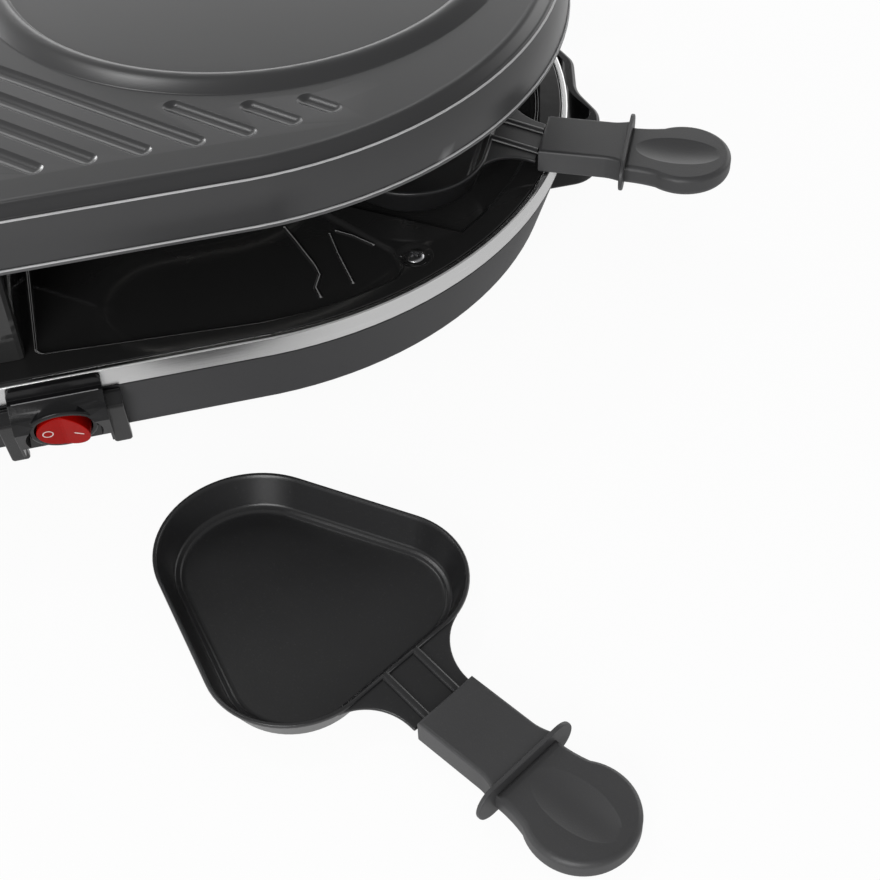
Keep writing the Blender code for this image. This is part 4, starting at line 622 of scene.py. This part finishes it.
def makeTray():
    top, floor, through = tray["top"], tray["top"] - tray["recess"], tray["through"]
    body = drawSlab("enamelTray", ovalLoop(tray["radius"]), top - tray["thickness"], top - 0.3)
    stepFace(1, tray["edge"])
    cutters = []
    recesses = [(sideRecessLoop(), mirror) for mirror in mirrors]
    recesses += [(endRecessLoop(), mirror) for mirror in mirrors[:2]]
    for loop, mirror in recesses:
        cutter = drawSlab("recess", loop, top + 0.01, top + 3)
        stepFace(-1, tray["recessSteps"])
        cutters.append(layDown(cutter, mirror))
    body = cutAway(body, joinUp(cutters))
    dimples = []
    for x, y in screwPlaces():
        dimple = drawBar("dimple", tray["dimple"], top + 0.01, top + 2, 40)
        stepFace(-1, tray["dimpleSteps"])
        dimples.append(layDown(dimple, shift(x, y)))
    body = cutAway(body, joinUp(dimples))
    holes = [layDown(drawBar("hole", tray["screwHole"], top - through, top + through, 24), shift(x, y))
             for x, y in screwPlaces()]
    holes.append(drawSlab("slot", roundedLoop(tray["leadSlot"]), top - through, top + through))
    body = cutAway(body, joinUp(holes))
    # a pale painted reflection along the crest of each pressed crease
    crests = []
    for mirror in mirrors:
        for points, width in tray["creases"]:
            line = drawRidge("crease", points, width, floor - tray["creaseSink"], tray["creaseHeight"])
            body = weldOn(body, layDown(line, mirror))
            crest = drawRidge("creaseCrest", points, width * tray["crestShare"], floor + tray["creaseSink"],
                              tray["crestHeight"])
            crests.append(layDown(crest, mirror))
    crest = joinUp(crests)
    openUp(crest)
    faceOut()
    finishPiece(crest, "grill", [], "paintedReflectionEnamel")
    finishPiece(body, "grill", ["drip_tray"], "blackEnamel", angle=24)


screw = dict(
    seat=-0.7, steps=40, armHalf=1.9, armSide=0.45, armFloor=0.3, turn=0.5, edge=0.08,
    profile=((0, 1.2), (0.9, 1.17), (1.7, 1.08), (2.4, 0.9), (3.0, 0.62), (3.4, 0.3), (3.5, 0.0),
             (1.7, 0.0), (1.7, -9.0), (0, -9.0)))


def makeScrews():
    seat, long, thin = tray["top"] + screw["seat"], screw["armHalf"], screw["armSide"]
    model = turnProfile("trayScrew", [(radius, seat + height) for radius, height in screw["profile"]],
                        screw["steps"])
    for turn in (0, quarterTurn):
        arm = drawBox("crossRecess", -long, -thin, long, thin, seat + screw["armFloor"], seat + 4)
        model = cutAway(model, layDown(arm, turned("Z", turn + screw["turn"])))
    softenEdges(model, screw["edge"], 1)
    for number, (x, y) in enumerate(screwPlaces(), 1):
        finishPiece(copyOf(model, "trayScrew" + str(number)), "grill", ["tray_screw_" + str(number)],
                    "zincPlate", grillPlace @ shift(x, y))
    bpy.data.objects.remove(model, do_unlink=True)


makeShell()
makeBand()
makeTray()
makeScrews()
print("base dressed")


# Side handles: a bow with a waist and a finger slot

bow = dict(
    low=8.0, high=34.0, halfWidth=52.0, reach=20.0, waist=13.2, waistY=21.5, middle=18.6,
    corner=13.0, waistRound=22.0, middleRound=13.0, bar=4.2, arm=8.5, slotCorner=6.0,
    root=60.0, wallFoot=0.01, wallTop=50.0, edge=0.9, steps=12,
    crownHeight=2,  # what the steps of the crown add up to
    crown=((0.1, 0.6), (0.25, 0.55), (0.4, 0.45), (0.5, 0.3), (0.5, 0.1)))


def bowLoop(half, inset, corner):
    edge, waistY = ovalHalf + base["bottomRadius"], bow["waistY"]
    root, outer = edge - bow["root"], edge + bow["reach"] - inset
    waist, middle = edge + bow["waist"] - inset, edge + bow["middle"] - inset
    return roundedLoop([(root, -half, 0), (outer, -half, corner), (waist, -waistY, bow["waistRound"]),
                        (middle, 0, bow["middleRound"]), (waist, waistY, bow["waistRound"]),
                        (outer, half, corner), (root, half, 0)], bow["steps"])


def makeHandle(side, word):
    handle = drawSlab("sideHandle_" + word, bowLoop(bow["halfWidth"], 0, bow["corner"]),
                      bow["low"] + bow["crownHeight"], bow["high"] - bow["crownHeight"])
    for up in (1, -1):
        stepFace(up, bow["crown"])
    slot = bowLoop(bow["halfWidth"] - bow["arm"], bow["bar"], bow["slotCorner"])
    handle = cutAway(handle, drawSlab("slot", slot, 0, far))
    # the shell's own slope, as an oval that widens upwards
    wall = drawSlab("wall", ovalLoop(shellRadius(0) + base["fit"]), 0, bow["wallFoot"])
    growth = (shellRadius(bow["wallTop"]) - shellRadius(0)) * mm
    shape = bmesh.from_edit_mesh(wall.data)
    for point in shape.verts:
        if point.co.z > bow["wallFoot"] / 2 * mm:
            end = math.copysign(ovalHalf * mm, point.co.x)
            out = Vector((point.co.x - end, point.co.y, 0)).normalized()
            point.co = point.co + out * growth + Vector((0, 0, bow["wallTop"] * mm))
    bmesh.update_edit_mesh(wall.data)
    handle = cutAway(handle, wall)
    softenEdges(handle, bow["edge"], 3)
    finishPiece(handle, "grill", ["side_handle_" + word], "blackNylon",
                grillPlace @ Matrix.Diagonal((side, 1, 1, 1)))


makeHandle(1, "right")
makeHandle(-1, "left")
print("side handles dressed")


# Switch: housing clipped over the band, legs to the table, round bezel and rocker

switch = dict(
    x=15.5, level=24.0, stand=7.0, half=16.0, low=10.4, block=8.6, faceGap=0.3,
    # (out from the band's face, up from the clip's top): the sloping front, the ledge, the clip
    front=((8.6, -14.4), (8.3, -12.0), (7.4, -9.0), (6.0, -6.4), (4.2, -4.0), (2.1, -3.7), (2.1, -0.3),
           (1.8, 0), (0, 0)),
    clipDrop=0.5, clipRound=2.6, edge=0.7, ledgeInset=1.4,
    ledge=((3.85, -4.3), (4.2, -4.35), (4.25, -4.1), (4.0, -3.85), (3.75, -3.95)),
    hood=15.0, hoodSqueeze=0.95, hoodBottom=-3.5,
    hoodEdge=((0.15, 0.35), (0.35, 0.25), (0.5, 0.1)),
    # (out from the wall, height), (wall height, height, out), (out from the face, below the shoulder)
    legFoot=((0.0, 0.0), (1.6, 0.0), (2.7, 0.3), (3.5, 1.0), (3.9, 2.0)),
    legFront=((14, 14.0, 4.5), (28, 26.9, 5.5), (28, 28.0, 5.5)),
    legTop=((3.4, 5.0), (1.7, 0.3), (0, 0.3)),
    legHalf=3.25, legShift=2.25, legRound=2.6, legEdge=0.8, sink=1.9, arch=13.2,
    belowInset=0.9, belowTop=-5.0, boreGap=0.3,
    bezel=11.9, cup=9.9, cupOuter=10.9, barrel=9.4, cupDepth=5.2, length=16.0,
    rocker=9.2, valley=0.9, valleyHalf=0.6, bottom=3.0, swing=20.0, rockerEdge=0.35,
    pin=0.8, pinHalf=9.6, markX=5.4, markSink=0.04, markThick=0.08, ringInner=1.55,
    ringOuter=1.9, ringStretch=1.12, dashHalf=1.7, dashSide=0.28, dashRound=0.2,
    # the valley of the rocker: where its points are, and how much it is hollowed
    valleyPoints=(0.9, 0.5, 0.2, -0.2, -0.5, -0.9), valleyRise=0.04,
    wide=40, reach=20, drumHalf=10, steps=96, hoodSteps=72, pinSteps=24, ringSteps=48)


def sideSlab(name, outline, half, x):
    # an outline of (distance from the middle, height), as a slab across X on the front side
    slab = drawSlab(name, outline, -half, half)
    return layDown(slab, Matrix(((0, 0, 1, x * mm), (-1, 0, 0, 0), (0, 1, 0, 0), (0, 0, 0, 1))))


def makeHousing():
    x, half, low, block = switch["x"], switch["half"], switch["low"], switch["block"]
    face, top = base["bandRadius"] + switch["faceGap"], base["bandTop"] - switch["clipDrop"]
    onWall = wallPlace(x, switch["level"], 0)
    wallLow = shellRadius(low) + base["fit"]
    front = [(face + out, top + up) for out, up in switch["front"]]
    body = sideSlab("switchHousing", [(wallLow, low), (wallLow + block, low)] + front
                    + [(face, base["shoulder"])], half, x)
    # rounded upper corners of the clip
    soft = switch["clipRound"]
    for side in (-1, 1):
        loop = [(side * (half - soft), top + 1)]
        loop += [(side * (half - soft + soft * math.sin(turn)), top - soft + soft * math.cos(turn))
                 for turn in (quarterTurn * step / 6 for step in range(7))]
        loop += [(side * (half + 1), top - soft), (side * (half + 1), top + 1)]
        corner = drawSlab("clipCorner", loop, -switch["reach"], switch["reach"])
        body = cutAway(body, layDown(corner, shift(x, -face) @ turned("X")))
    softenEdges(body, switch["edge"], 3)
    # the hood that bulges round the rocker
    hood = drawBar("hood", switch["hood"], 1, block, switch["hoodSteps"])
    stepFace(1, switch["hoodEdge"])
    wide = switch["wide"]
    hood = cutAway(hood, drawBox("lower", -wide, -wide, wide, switch["hoodBottom"], -wide, wide))
    layDown(hood, Matrix.Scale(switch["hoodSqueeze"], 4, (1, 0, 0)))
    body = weldOn(body, layDown(hood, onWall))
    footInner = shellRadius(0) + base["fit"]
    legLoop = [(footInner + out, height) for out, height in switch["legFoot"]]
    legLoop += [(shellRadius(level) + out, height) for level, height, out in switch["legFront"]]
    legLoop += [(face + out, base["shoulder"] - below) for out, below in switch["legTop"]]
    for side in (-1, 1):
        middle, reach = x + side * (half + switch["legShift"]), switch["legHalf"] + 0.1
        leg = sideSlab("leg", legLoop, switch["legHalf"], middle)
        # its lower corners are round
        left, right, soft = middle - reach, middle + reach, switch["legRound"]
        shape = roundedLoop([(left, 0, soft), (right, 0, soft), (right, far, 0.2), (left, far, 0.2)], 6)
        leg = combine(leg, layDown(drawSlab("legShape", shape, 100, 200), turned("X")), "INTERSECT")
        softenEdges(leg, switch["legEdge"], 3)
        body = weldOn(body, leg)
    # the face round the bezel lies deeper, and the bore takes the switch
    deep, across = switch["stand"] - switch["sink"], half - switch["belowInset"]
    body = cutAway(body, layDown(drawBar("arch", switch["arch"], deep, far, switch["steps"]), onWall))
    body = cutAway(body, layDown(drawBox("below", -across, -wide, across, switch["belowTop"], deep, far),
                                 onWall))
    bore = drawBar("bore", switch["cupOuter"] + switch["boreGap"], -far, far, switch["steps"])
    body = cutAway(body, layDown(bore, onWall))
    # a pale painted highlight along the ledge's edge
    line = sideSlab("ledgeLine", [(face + out, top + up) for out, up in switch["ledge"]],
                    half - switch["ledgeInset"], x)
    finishPiece(line, "grill", [], "paintedHighlightNylon")
    finishPiece(body, "grill", ["switch_housing"], "blackNylon")


def makeSwitch():
    place = grillPlace @ wallPlace(switch["x"], switch["level"], switch["stand"])
    cup, depth, bezel, outer = switch["cup"], switch["cupDepth"], switch["bezel"], switch["cupOuter"]
    body = turnProfile("switchBody", [
        (0, -depth), (cup - 0.4, -depth), (cup, -depth + 0.4), (cup, -0.3), (cup + 0.2, -0.05),
        (cup + 0.6, 0), (bezel - 0.7, 0), (bezel - 0.25, -0.15), (bezel, -0.6), (bezel, -1.6),
        (outer, -1.6), (outer, -depth - 1), (switch["barrel"], -depth - 1),
        (switch["barrel"], -switch["length"]), (0, -switch["length"])], switch["steps"])
    finishPiece(body, "grill", ["switch_body"], "blackNylon", place)

    # two flat faces that meet in a soft valley
    radius, halfSwing, valley = switch["rocker"], switch["swing"] / 2 * degree, switch["valley"]
    reach, soft, rise = radius + 2, switch["valleyHalf"], math.tan(halfSwing)
    section = [(-reach, -switch["bottom"]), (reach, -switch["bottom"]), (reach, valley + reach * rise)]
    section += [(x, valley + max(abs(x) - soft, 0) * rise
                 + switch["valleyRise"] * (soft - min(abs(x), soft))) for x in switch["valleyPoints"]]
    section += [(-reach, valley + reach * rise)]
    rocker = drawSlab("redRocker", section, -switch["reach"], switch["reach"])
    drum = drawBar("drum", radius, -switch["drumHalf"], switch["drumHalf"], switch["steps"])
    rocker = combine(layDown(rocker, turned("X")), drum, "INTERSECT")
    softenEdges(rocker, switch["rockerEdge"], 3)
    pin = drawBar("pin", switch["pin"], -switch["pinHalf"], switch["pinHalf"], switch["pinSteps"])
    rocker = weldOn(rocker, layDown(pin, turned("X")))
    place = place @ turned("Y", -halfSwing)
    finishPiece(rocker, "rocker", ["rocker"], "redPolycarbonate", place)

    # marks lie on the two faces, a hair proud
    thick, inner, outer = switch["markThick"], switch["ringInner"], switch["ringOuter"]
    ring = turnProfile("markOff", [(inner, 0), (outer, 0), (outer, thick), (inner, thick)],
                       switch["ringSteps"])
    layDown(ring, Matrix.Scale(switch["ringStretch"], 4, (0, 1, 0)))
    long, thin, soft = switch["dashHalf"], switch["dashSide"], switch["dashRound"]
    dash = drawSlab("markOn", roundedLoop([(long, -thin, soft), (long, thin, soft), (-long, thin, soft),
                                           (-long, -thin, soft)], 4), 0, thick)
    for mark, side in ((ring, -1), (dash, 1)):
        slope = shift(0, 0, valley) @ turned("Y", -side * halfSwing)
        finishPiece(mark, "rocker", [], "whitePrint",
                    place @ slope @ shift(side * switch["markX"], 0, -switch["markSink"]))


makeHousing()
makeSwitch()
print("switch dressed")


# Raclette pans: one pressed tray with a ridged neck, one moulded handle, then copied to each place

pan = dict(
    noseX=-87.4, nose=32.6, cornerX=-46.9, cornerY=19.1, corner=28.6, height=12.7,
    rimLow=1.3, rimHigh=0.5, rim=((0.12, 0.25), (0.2, 0.18), (0.28, 0.07)),
    outside=((0.25, 0.3), (4.35, 9.7), (0.5, 0.8), (0.6, 0.45), (0.7, 0.15)),
    rimWidth=0.6,
    inside=((0.35, 0.28), (0.35, 0.35), (0.5, 0.9), (3.6, 8.7), (0.45, 0.65), (0.55, 0.3), (0.8, 0.1),
            (0.35, 0.15), (0.3, 0.3), (0.5, 0.2), (1.0, 0.07)),
    neckHalf=12.2, fillet=18.0, neckThick=1.6, neckStart=-34.0, neckEnd=-0.3, neckEdge=0.5,
    tongue=20.0, tongueHalf=8.0, neckDrop=1.2, neckFall=4.4,
    ribSpacing=13.0, ribHalf=1.5, ribRound=1.4, ribSink=0.8, ribFoot=0.3,
    rib=((0.2, 0.35), (0.3, 0.3), (0.35, 0.2), (0.3, 0.05)),
    cornerSteps=22, noseSteps=34, filletSteps=14, ribSteps=5)


def panLoop(inset=0.0):
    x, y, nose, corner = pan["cornerX"], pan["cornerY"], pan["nose"] - inset, pan["corner"] - inset
    gap = Vector((x - pan["noseX"], y))
    tangent = math.atan2(gap.y, gap.x) + math.acos((pan["nose"] - pan["corner"]) / gap.length)
    return (arc(x, y, corner, 0, tangent, pan["cornerSteps"])
            + arc(pan["noseX"], 0, nose, tangent, wholeTurn - tangent, pan["noseSteps"])
            + arc(x, -y, corner, wholeTurn - tangent, wholeTurn, pan["cornerSteps"]))


def neckPlace():
    rim = pan["cornerX"] + pan["corner"]
    slope = math.atan2(pan["neckFall"], -rim)
    return shift(rim, 0, pan["height"] - pan["neckDrop"]) @ turned("Y", slope) @ shift(-rim)


def neckLoop():
    side, fillet, end = pan["neckHalf"] + pan["fillet"], pan["fillet"], pan["neckEnd"]
    reach = math.sqrt((pan["corner"] + fillet) ** 2 - (side - pan["cornerY"]) ** 2)
    x, turn = pan["cornerX"] + reach, math.atan2(pan["cornerY"] - side, -reach)
    start = (pan["neckStart"], side + fillet * math.sin(turn))
    half, tongue, tongueHalf = pan["neckHalf"], pan["tongue"], pan["tongueHalf"]
    middle = [(end, -half), (end, -tongueHalf), (tongue, -tongueHalf), (tongue, tongueHalf),
              (end, tongueHalf), (end, half)]
    steps = pan["filletSteps"]
    return ([(start[0], -start[1])] + arc(x, -side, fillet, -turn, quarterTurn, steps) + middle
            + arc(x, side, fillet, -quarterTurn, turn, steps) + [start])


def makePanTray():
    height = pan["height"]
    body = drawSlab("panTray", panLoop(), height - pan["rimLow"], height - pan["rimHigh"])
    stepFace(1, pan["rim"])
    stepFace(-1, pan["outside"])
    neck = drawSlab("neck", neckLoop(), -pan["neckThick"], 0)
    softenEdges(neck, pan["neckEdge"], 2)
    body = weldOn(body, layDown(neck, neckPlace()))
    start, end, half = pan["neckStart"], pan["neckEnd"], pan["ribHalf"]
    for side in (-1, 1):
        # a rib pressed up along the neck, round on top
        outline = roundedLoop([(end, -half, 0), (end, half, 0), (start, half, pan["ribRound"]),
                               (start, -half, pan["ribRound"])], pan["ribSteps"])
        rib = drawSlab("rib", outline, -pan["ribSink"], pan["ribFoot"])
        stepFace(1, pan["rib"])
        body = weldOn(body, layDown(rib, neckPlace() @ shift(0, side * pan["ribSpacing"] / 2)))
    hollow = drawSlab("hollow", panLoop(pan["rimWidth"]), height + 0.3, height + 6)
    stepFace(-1, pan["inside"])
    body = cutAway(body, hollow)
    print("pan tray:", len(body.data.polygons), "faces")
    return body


grip = dict(
    length=30.9, half=11.85, thickness=10.0, lift=1.8, flare=1.8, flareLength=6.0,
    flarePower=1.8, crownHeight=1.2, crown=((0.1, 0.45), (0.25, 0.4), (0.4, 0.25), (0.5, 0.1), (0.5, 0)),
    beyond=6.0,  # the outline runs on past the guard and is trimmed there
    guard=2.6, guardThick=1.5, guardHalf=20.3, guardTall=12.8, guardLift=0.4,
    guardRound=0.35, guardEdge=((0.1, 0.2), (0.25, 0.15)),
    paddleX=53.9, paddle=17.55, root=13.4, rootPower=2.2, tangent=122.0, paddleLift=1.4,
    paddleThick=8.0, topHeight=2.0, underHeight=2.6,
    paddleTop=((0.12, 0.6), (0.3, 0.55), (0.45, 0.45), (0.5, 0.28), (0.45, 0.12)),
    paddleUnder=((0.12, 0.7), (0.3, 0.7), (0.45, 0.6), (0.5, 0.4), (0.45, 0.2)),
    ball=55.0, dishDepth=1.3, dishShift=-2.5, dishStretch=(1.35, 0.68, 1), dishEdge=1.5,
    ballSteps=(96, 64), onBall=0.15,  # the dish's faces lie this near to its ball
    slotStart=-5, slotEnd=20.3, slotHalf=8.3, slotGap=0.3, flareSteps=8, earSteps=20, rimSteps=48)


def makeGripBlock():
    middle = grip["length"] + grip["guard"] / 2
    start = grip["length"] - grip["flareLength"]
    low, high, crown = grip["lift"], grip["lift"] + grip["thickness"], grip["crownHeight"]
    sides = [(0, -grip["half"])]
    for share in (step / grip["flareSteps"] for step in range(grip["flareSteps"] + 1)):
        sides.append((start + (middle - start) * share,
                      -grip["half"] - grip["flare"] * share ** grip["flarePower"]))
    sides.append((middle + grip["beyond"], sides[-1][1]))
    block = drawSlab("panHandle", sides + [(x, -y) for x, y in reversed(sides)], low + crown, high - crown)
    for up in (1, -1):
        stepFace(up, grip["crown"])
    block = cutAway(block, drawBox("beyond", middle + 0.2, -30, 60, 30, -20, 40))
    # the finger guard: two ears and what joins them
    radius = grip["guardTall"] / 2
    centre, reach = grip["guardLift"] + radius, grip["guardHalf"] - radius
    ears = arc(reach, centre, radius, -quarterTurn, quarterTurn, grip["earSteps"])
    ears += arc(-reach, centre, radius, quarterTurn, 3 * quarterTurn, grip["earSteps"])
    half = grip["guardThick"] / 2 - grip["guardRound"]
    guard = drawSlab("guard", ears, -half, half)
    for up in (1, -1):
        stepFace(up, grip["guardEdge"])
    across = Matrix(((0, 0, 1, middle * mm), (1, 0, 0, 0), (0, 1, 0, 0), (0, 0, 0, 1)))
    return weldOn(block, layDown(guard, across))


def makePaddle():
    middle = grip["length"] + grip["guard"] / 2
    turn = grip["tangent"] * degree
    rim = arc(grip["paddleX"], 0, grip["paddle"], -turn, turn, grip["rimSteps"])
    startX, startY = rim[-1]
    shoulder = []
    for share in (step / 5 for step in range(1, 6)):  # an S-curve from the disc to its root at the guard
        shoulder.append((startX + (middle - startX) * share,
                         startY + (grip["root"] - startY) * (1 - (1 - share) ** grip["rootPower"])))
    low, high = grip["paddleLift"], grip["paddleLift"] + grip["paddleThick"]
    paddle = drawSlab("paddle", [(x, -y) for x, y in reversed(shoulder)] + rim + shoulder,
                      low + grip["underHeight"], high - grip["topHeight"])
    stepFace(1, grip["paddleTop"])
    stepFace(-1, grip["paddleUnder"])
    # a shallow hollow for the thumb, longer than it is wide, with a rolled edge
    letGo()
    segments, rings = grip["ballSteps"]
    bpy.ops.mesh.primitive_uv_sphere_add(segments=segments, ring_count=rings, radius=grip["ball"] * mm)
    dish = bpy.context.object
    dish.name = "dish"
    sunk = shift(grip["paddleX"] + grip["dishShift"], 0, high - grip["dishDepth"] + grip["ball"])
    place = sunk @ Matrix.Diagonal((*grip["dishStretch"], 1))
    paddle = cutAway(paddle, layDown(dish, place))
    openUp(paddle)
    undo = place.inverted()
    pickFaces(lambda centre, normal: (normal.z > 0 and abs((undo @ centre).length / mm - grip["ball"])
                                      < grip["onBall"]))
    bpy.ops.mesh.region_to_loop()
    bpy.ops.mesh.bevel(offset=grip["dishEdge"] * mm, segments=5, clamp_overlap=True)
    return paddle


def makePanHandle():
    handle = makeGripBlock()
    handle = weldOn(handle, makePaddle())
    gap, half = grip["slotGap"], grip["slotHalf"]
    slot = drawBox("slot", grip["slotStart"], -half, grip["slotEnd"], half, -pan["neckThick"] - gap, gap)
    handle = cutAway(handle, layDown(slot, neckPlace()))
    print("pan handle:", len(handle.data.polygons), "faces")
    return handle


# where the pans lie: (x, y), and how far the end pans are turned
spots = dict(
    side=(62.0, 142.0), end=(210.0, 73.0), endTurn=26.0, loose=(116.3, -286.6),
    looseTurn=-58.0, lift=0.3)


def panPlaces():
    (sideX, sideY), (endX, endY) = spots["side"], spots["end"]
    rest, turn = tray["top"] - tray["recess"] + spots["lift"], spots["endTurn"] * degree
    return [("front_left", (-sideX, -sideY, rest), -quarterTurn),
            ("back_left", (-sideX, sideY, rest), quarterTurn),
            ("back_right", (sideX, sideY, rest), quarterTurn),
            ("right_front", (endX, -endY, rest), -turn), ("right_back", (endX, endY, rest), turn),
            ("left_front", (-endX, -endY, rest), turn - math.pi),
            ("left_back", (-endX, endY, rest), math.pi - turn),
            ("loose", (*spots["loose"], 0), spots["looseTurn"] * degree)]


panTray = makePanTray()
panHandle = makePanHandle()
for name, place, turn in panPlaces():
    seat = grillPlace @ shift(*place) @ turned("Z", turn)
    finishPiece(copyOf(panTray, "panTray_" + name), "pan_" + name, ["pan_" + name],
                "nonStickPressed", seat)
    finishPiece(copyOf(panHandle, "panHandle_" + name), "pan_" + name, ["pan_handle_" + name],
                "greyPhenolic", seat)
bpy.data.objects.remove(panTray, do_unlink=True)
bpy.data.objects.remove(panHandle, do_unlink=True)
print("pans dressed")


# Heating tubes, drawn as one round-bent line on each side

heater = dict(
    level=80.0, radius=3.25, outer=100.0, inner=44.0, turnX=60.0, pinX=3.5, outerSteps=40, turnSteps=24,
    innerSteps=28)


def makeHeater(side, word):
    outer, inner = heater["outer"], heater["inner"]
    line = [(heater["pinX"], outer)] + arc(ovalHalf, 0, outer, quarterTurn, -quarterTurn,
                                           heater["outerSteps"])
    line += arc(heater["turnX"], -(outer + inner) / 2, (outer - inner) / 2, -quarterTurn,
                -3 * quarterTurn, heater["turnSteps"])
    line += arc(ovalHalf, 0, inner, -quarterTurn, quarterTurn, heater["innerSteps"])
    line += [(heater["pinX"], inner)]
    route = bpy.data.curves.new("heater", "CURVE")
    route.dimensions = "3D"
    route.bevel_depth = heater["radius"] * mm
    route.bevel_resolution = 5
    route.use_fill_caps = True
    spline = route.splines.new("POLY")
    spline.points.add(len(line) - 1)
    for knot, (x, y) in zip(spline.points, line):
        knot.co = (side * x * mm, y * mm, heater["level"] * mm, 1)
    takeUp(addObject("heatingTube_" + word, route))
    bpy.ops.object.convert(target="MESH")
    tube = bpy.context.object
    openUp(tube)
    bpy.ops.mesh.remove_doubles(threshold=clean["drawn"] * mm)
    faceOut()
    finishPiece(tube, "grill", ["heating_element_" + word], "heatedSheath")


makeHeater(1, "right")
makeHeater(-1, "left")


# CAD nodes that keep their shape and get a better finish

keptNodes = {"blackEnamel": ("centre_bridge", "plate_support_left", "plate_support_right"),
             "powderCoat": ("base_plate",), "blackNylon": ("cord_inlet",), "steatite": ("terminal_block",),
             "glassSleeve": ("lead_to_switch", "lead_to_inlet"),
             "zincPlate": ("element_bracket_left", "element_bracket_right"),
             "blackRubber": ("foot_front_left", "foot_front_right", "foot_rear_left", "foot_rear_right")}
for finish, nodes in keptNodes.items():
    for node in nodes:
        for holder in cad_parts[node].material_slots:
            holder.material = finishes[finish]
print("kept nodes finished:", sum(len(nodes) for nodes in keptNodes.values()))


# Studio: white table, bright low wall behind, dim room, a soft key from behind on the left, a small
# lamp above and a wide fill in front. Lamp sizes and places are metres.

studio = dict(
    table=12, tableDrop=0.2, paper="#f7f7f7", paperSeen=0.95, paperMirrored=0.5,
    wallBehind=(-0.1, 0.3), wallTop=(0.36, 0.56), backLight=1.0, mirrorLight=2.4,
    roomLight=0.36,
    lamps={"key": (6.0, 0.35, (-0.8, 1.05, 0.5)), "top": (2.0, 0.22, (-0.3, 0.5, 1.25)),
           "fill": (11.0, 0.8, (-0.55, -1.2, 0.5))},
    azimuth=-12.2, elevation=45.9, roll=-2.5, distance=663.8, lens=1585.9 / 880 * 36,
    film=36, nearest=0.01, aimX=14.0, slideX=166.7, slideY=-93.0)


def makeTable():
    letGo()
    bpy.ops.mesh.primitive_plane_add(size=studio["table"], location=(0, 0, -studio["tableDrop"] * mm))
    table = bpy.context.object
    table.name = "studioTable"
    bpy.ops.object.transform_apply(location=True, rotation=True, scale=True)
    paper = bpy.data.materials.new("whitePaper")
    tree = clearTree(paper)
    ray = addNode(tree, "ShaderNodeLightPath")
    matt = addNode(tree, "ShaderNodeBsdfDiffuse", {"Color": hexColour(studio["paper"])})
    glow = addNode(tree, "ShaderNodeEmission", {"Color": (1, 1, 1, 1), "Strength": 1})
    share = addMaths(tree, "MAXIMUM",
                     addMaths(tree, "MULTIPLY", ray.outputs["Is Camera Ray"], studio["paperSeen"]),
                     addMaths(tree, "MULTIPLY", ray.outputs["Is Glossy Ray"], studio["paperMirrored"]))
    mixed = addNode(tree, "ShaderNodeMixShader", {0: share, 1: matt.outputs["BSDF"],
                                                  2: glow.outputs["Emission"]})
    addNode(tree, "ShaderNodeOutputMaterial", {"Surface": mixed.outputs["Shader"]})
    table.data.materials.append(paper)


def makeSurround():
    world = bpy.data.worlds.new("whiteSurround")
    bpy.context.scene.world = world
    tree = clearTree(world)
    way = addNode(tree, "ShaderNodeTexCoord")
    axes = addNode(tree, "ShaderNodeSeparateXYZ", {"Vector": way.outputs["Generated"]})
    wall = addMaths(tree, "MULTIPLY", addRange(tree, axes.outputs["Y"], studio["wallBehind"], (0, 1)),
                    addRange(tree, axes.outputs["Z"], studio["wallTop"], (1, 0)))
    ray = addNode(tree, "ShaderNodeLightPath")
    strong = addRange(tree, ray.outputs["Is Glossy Ray"], (0, 1),
                      (studio["backLight"], studio["mirrorLight"]))
    level = addRange(tree, wall, (0, 1), (studio["roomLight"], strong))
    # what the camera sees straight on stays white
    seen = addMaths(tree, "MAXIMUM", ray.outputs["Is Camera Ray"], ray.outputs["Is Transmission Ray"])
    strength = addRange(tree, seen, (0, 1), (level, 1))
    back = addNode(tree, "ShaderNodeBackground", {"Color": (1, 1, 1, 1), "Strength": strength})
    addNode(tree, "ShaderNodeOutputWorld", {"Surface": back.outputs["Background"]})


def makeLamps():
    for name, (power, size, place) in studio["lamps"].items():
        lamp = bpy.data.lights.new(name + "Lamp", "AREA")
        lamp.shape = "DISK"
        lamp.size = size
        lamp.energy = power
        holder = addObject(name + "Lamp", lamp)
        holder.location = place
        holder.rotation_euler = (-holder.location).to_track_quat("-Z", "Y").to_euler()


def makeCamera():
    azimuth, elevation, roll = (studio[word] * degree for word in ("azimuth", "elevation", "roll"))
    back = Vector((math.sin(azimuth) * math.cos(elevation), -math.cos(azimuth) * math.cos(elevation),
                   math.sin(elevation)))
    right = Vector((math.cos(azimuth), math.sin(azimuth), 0))
    up = back.cross(right)
    acrossView = right * math.cos(roll) + up * math.sin(roll)
    upView = up * math.cos(roll) - right * math.sin(roll)
    spot = back * studio["distance"] + acrossView * studio["slideX"] + upView * studio["slideY"]
    camera = bpy.data.cameras.new("productCamera")
    camera.lens = studio["lens"]
    camera.sensor_width = studio["film"]
    camera.clip_start = studio["nearest"]
    holder = addObject("productCamera", camera)
    axes = Matrix((acrossView, upView, back)).transposed().to_4x4()
    aim = Vector((studio["aimX"] * mm, grillCentre.y, 0))
    holder.matrix_world = Matrix.Translation(spot * mm + aim) @ axes
    bpy.context.scene.camera = holder


makeTable()
makeSurround()
makeLamps()
makeCamera()
bpy.context.scene.view_settings.view_transform = "Standard"
letGo()
print("studio ready")
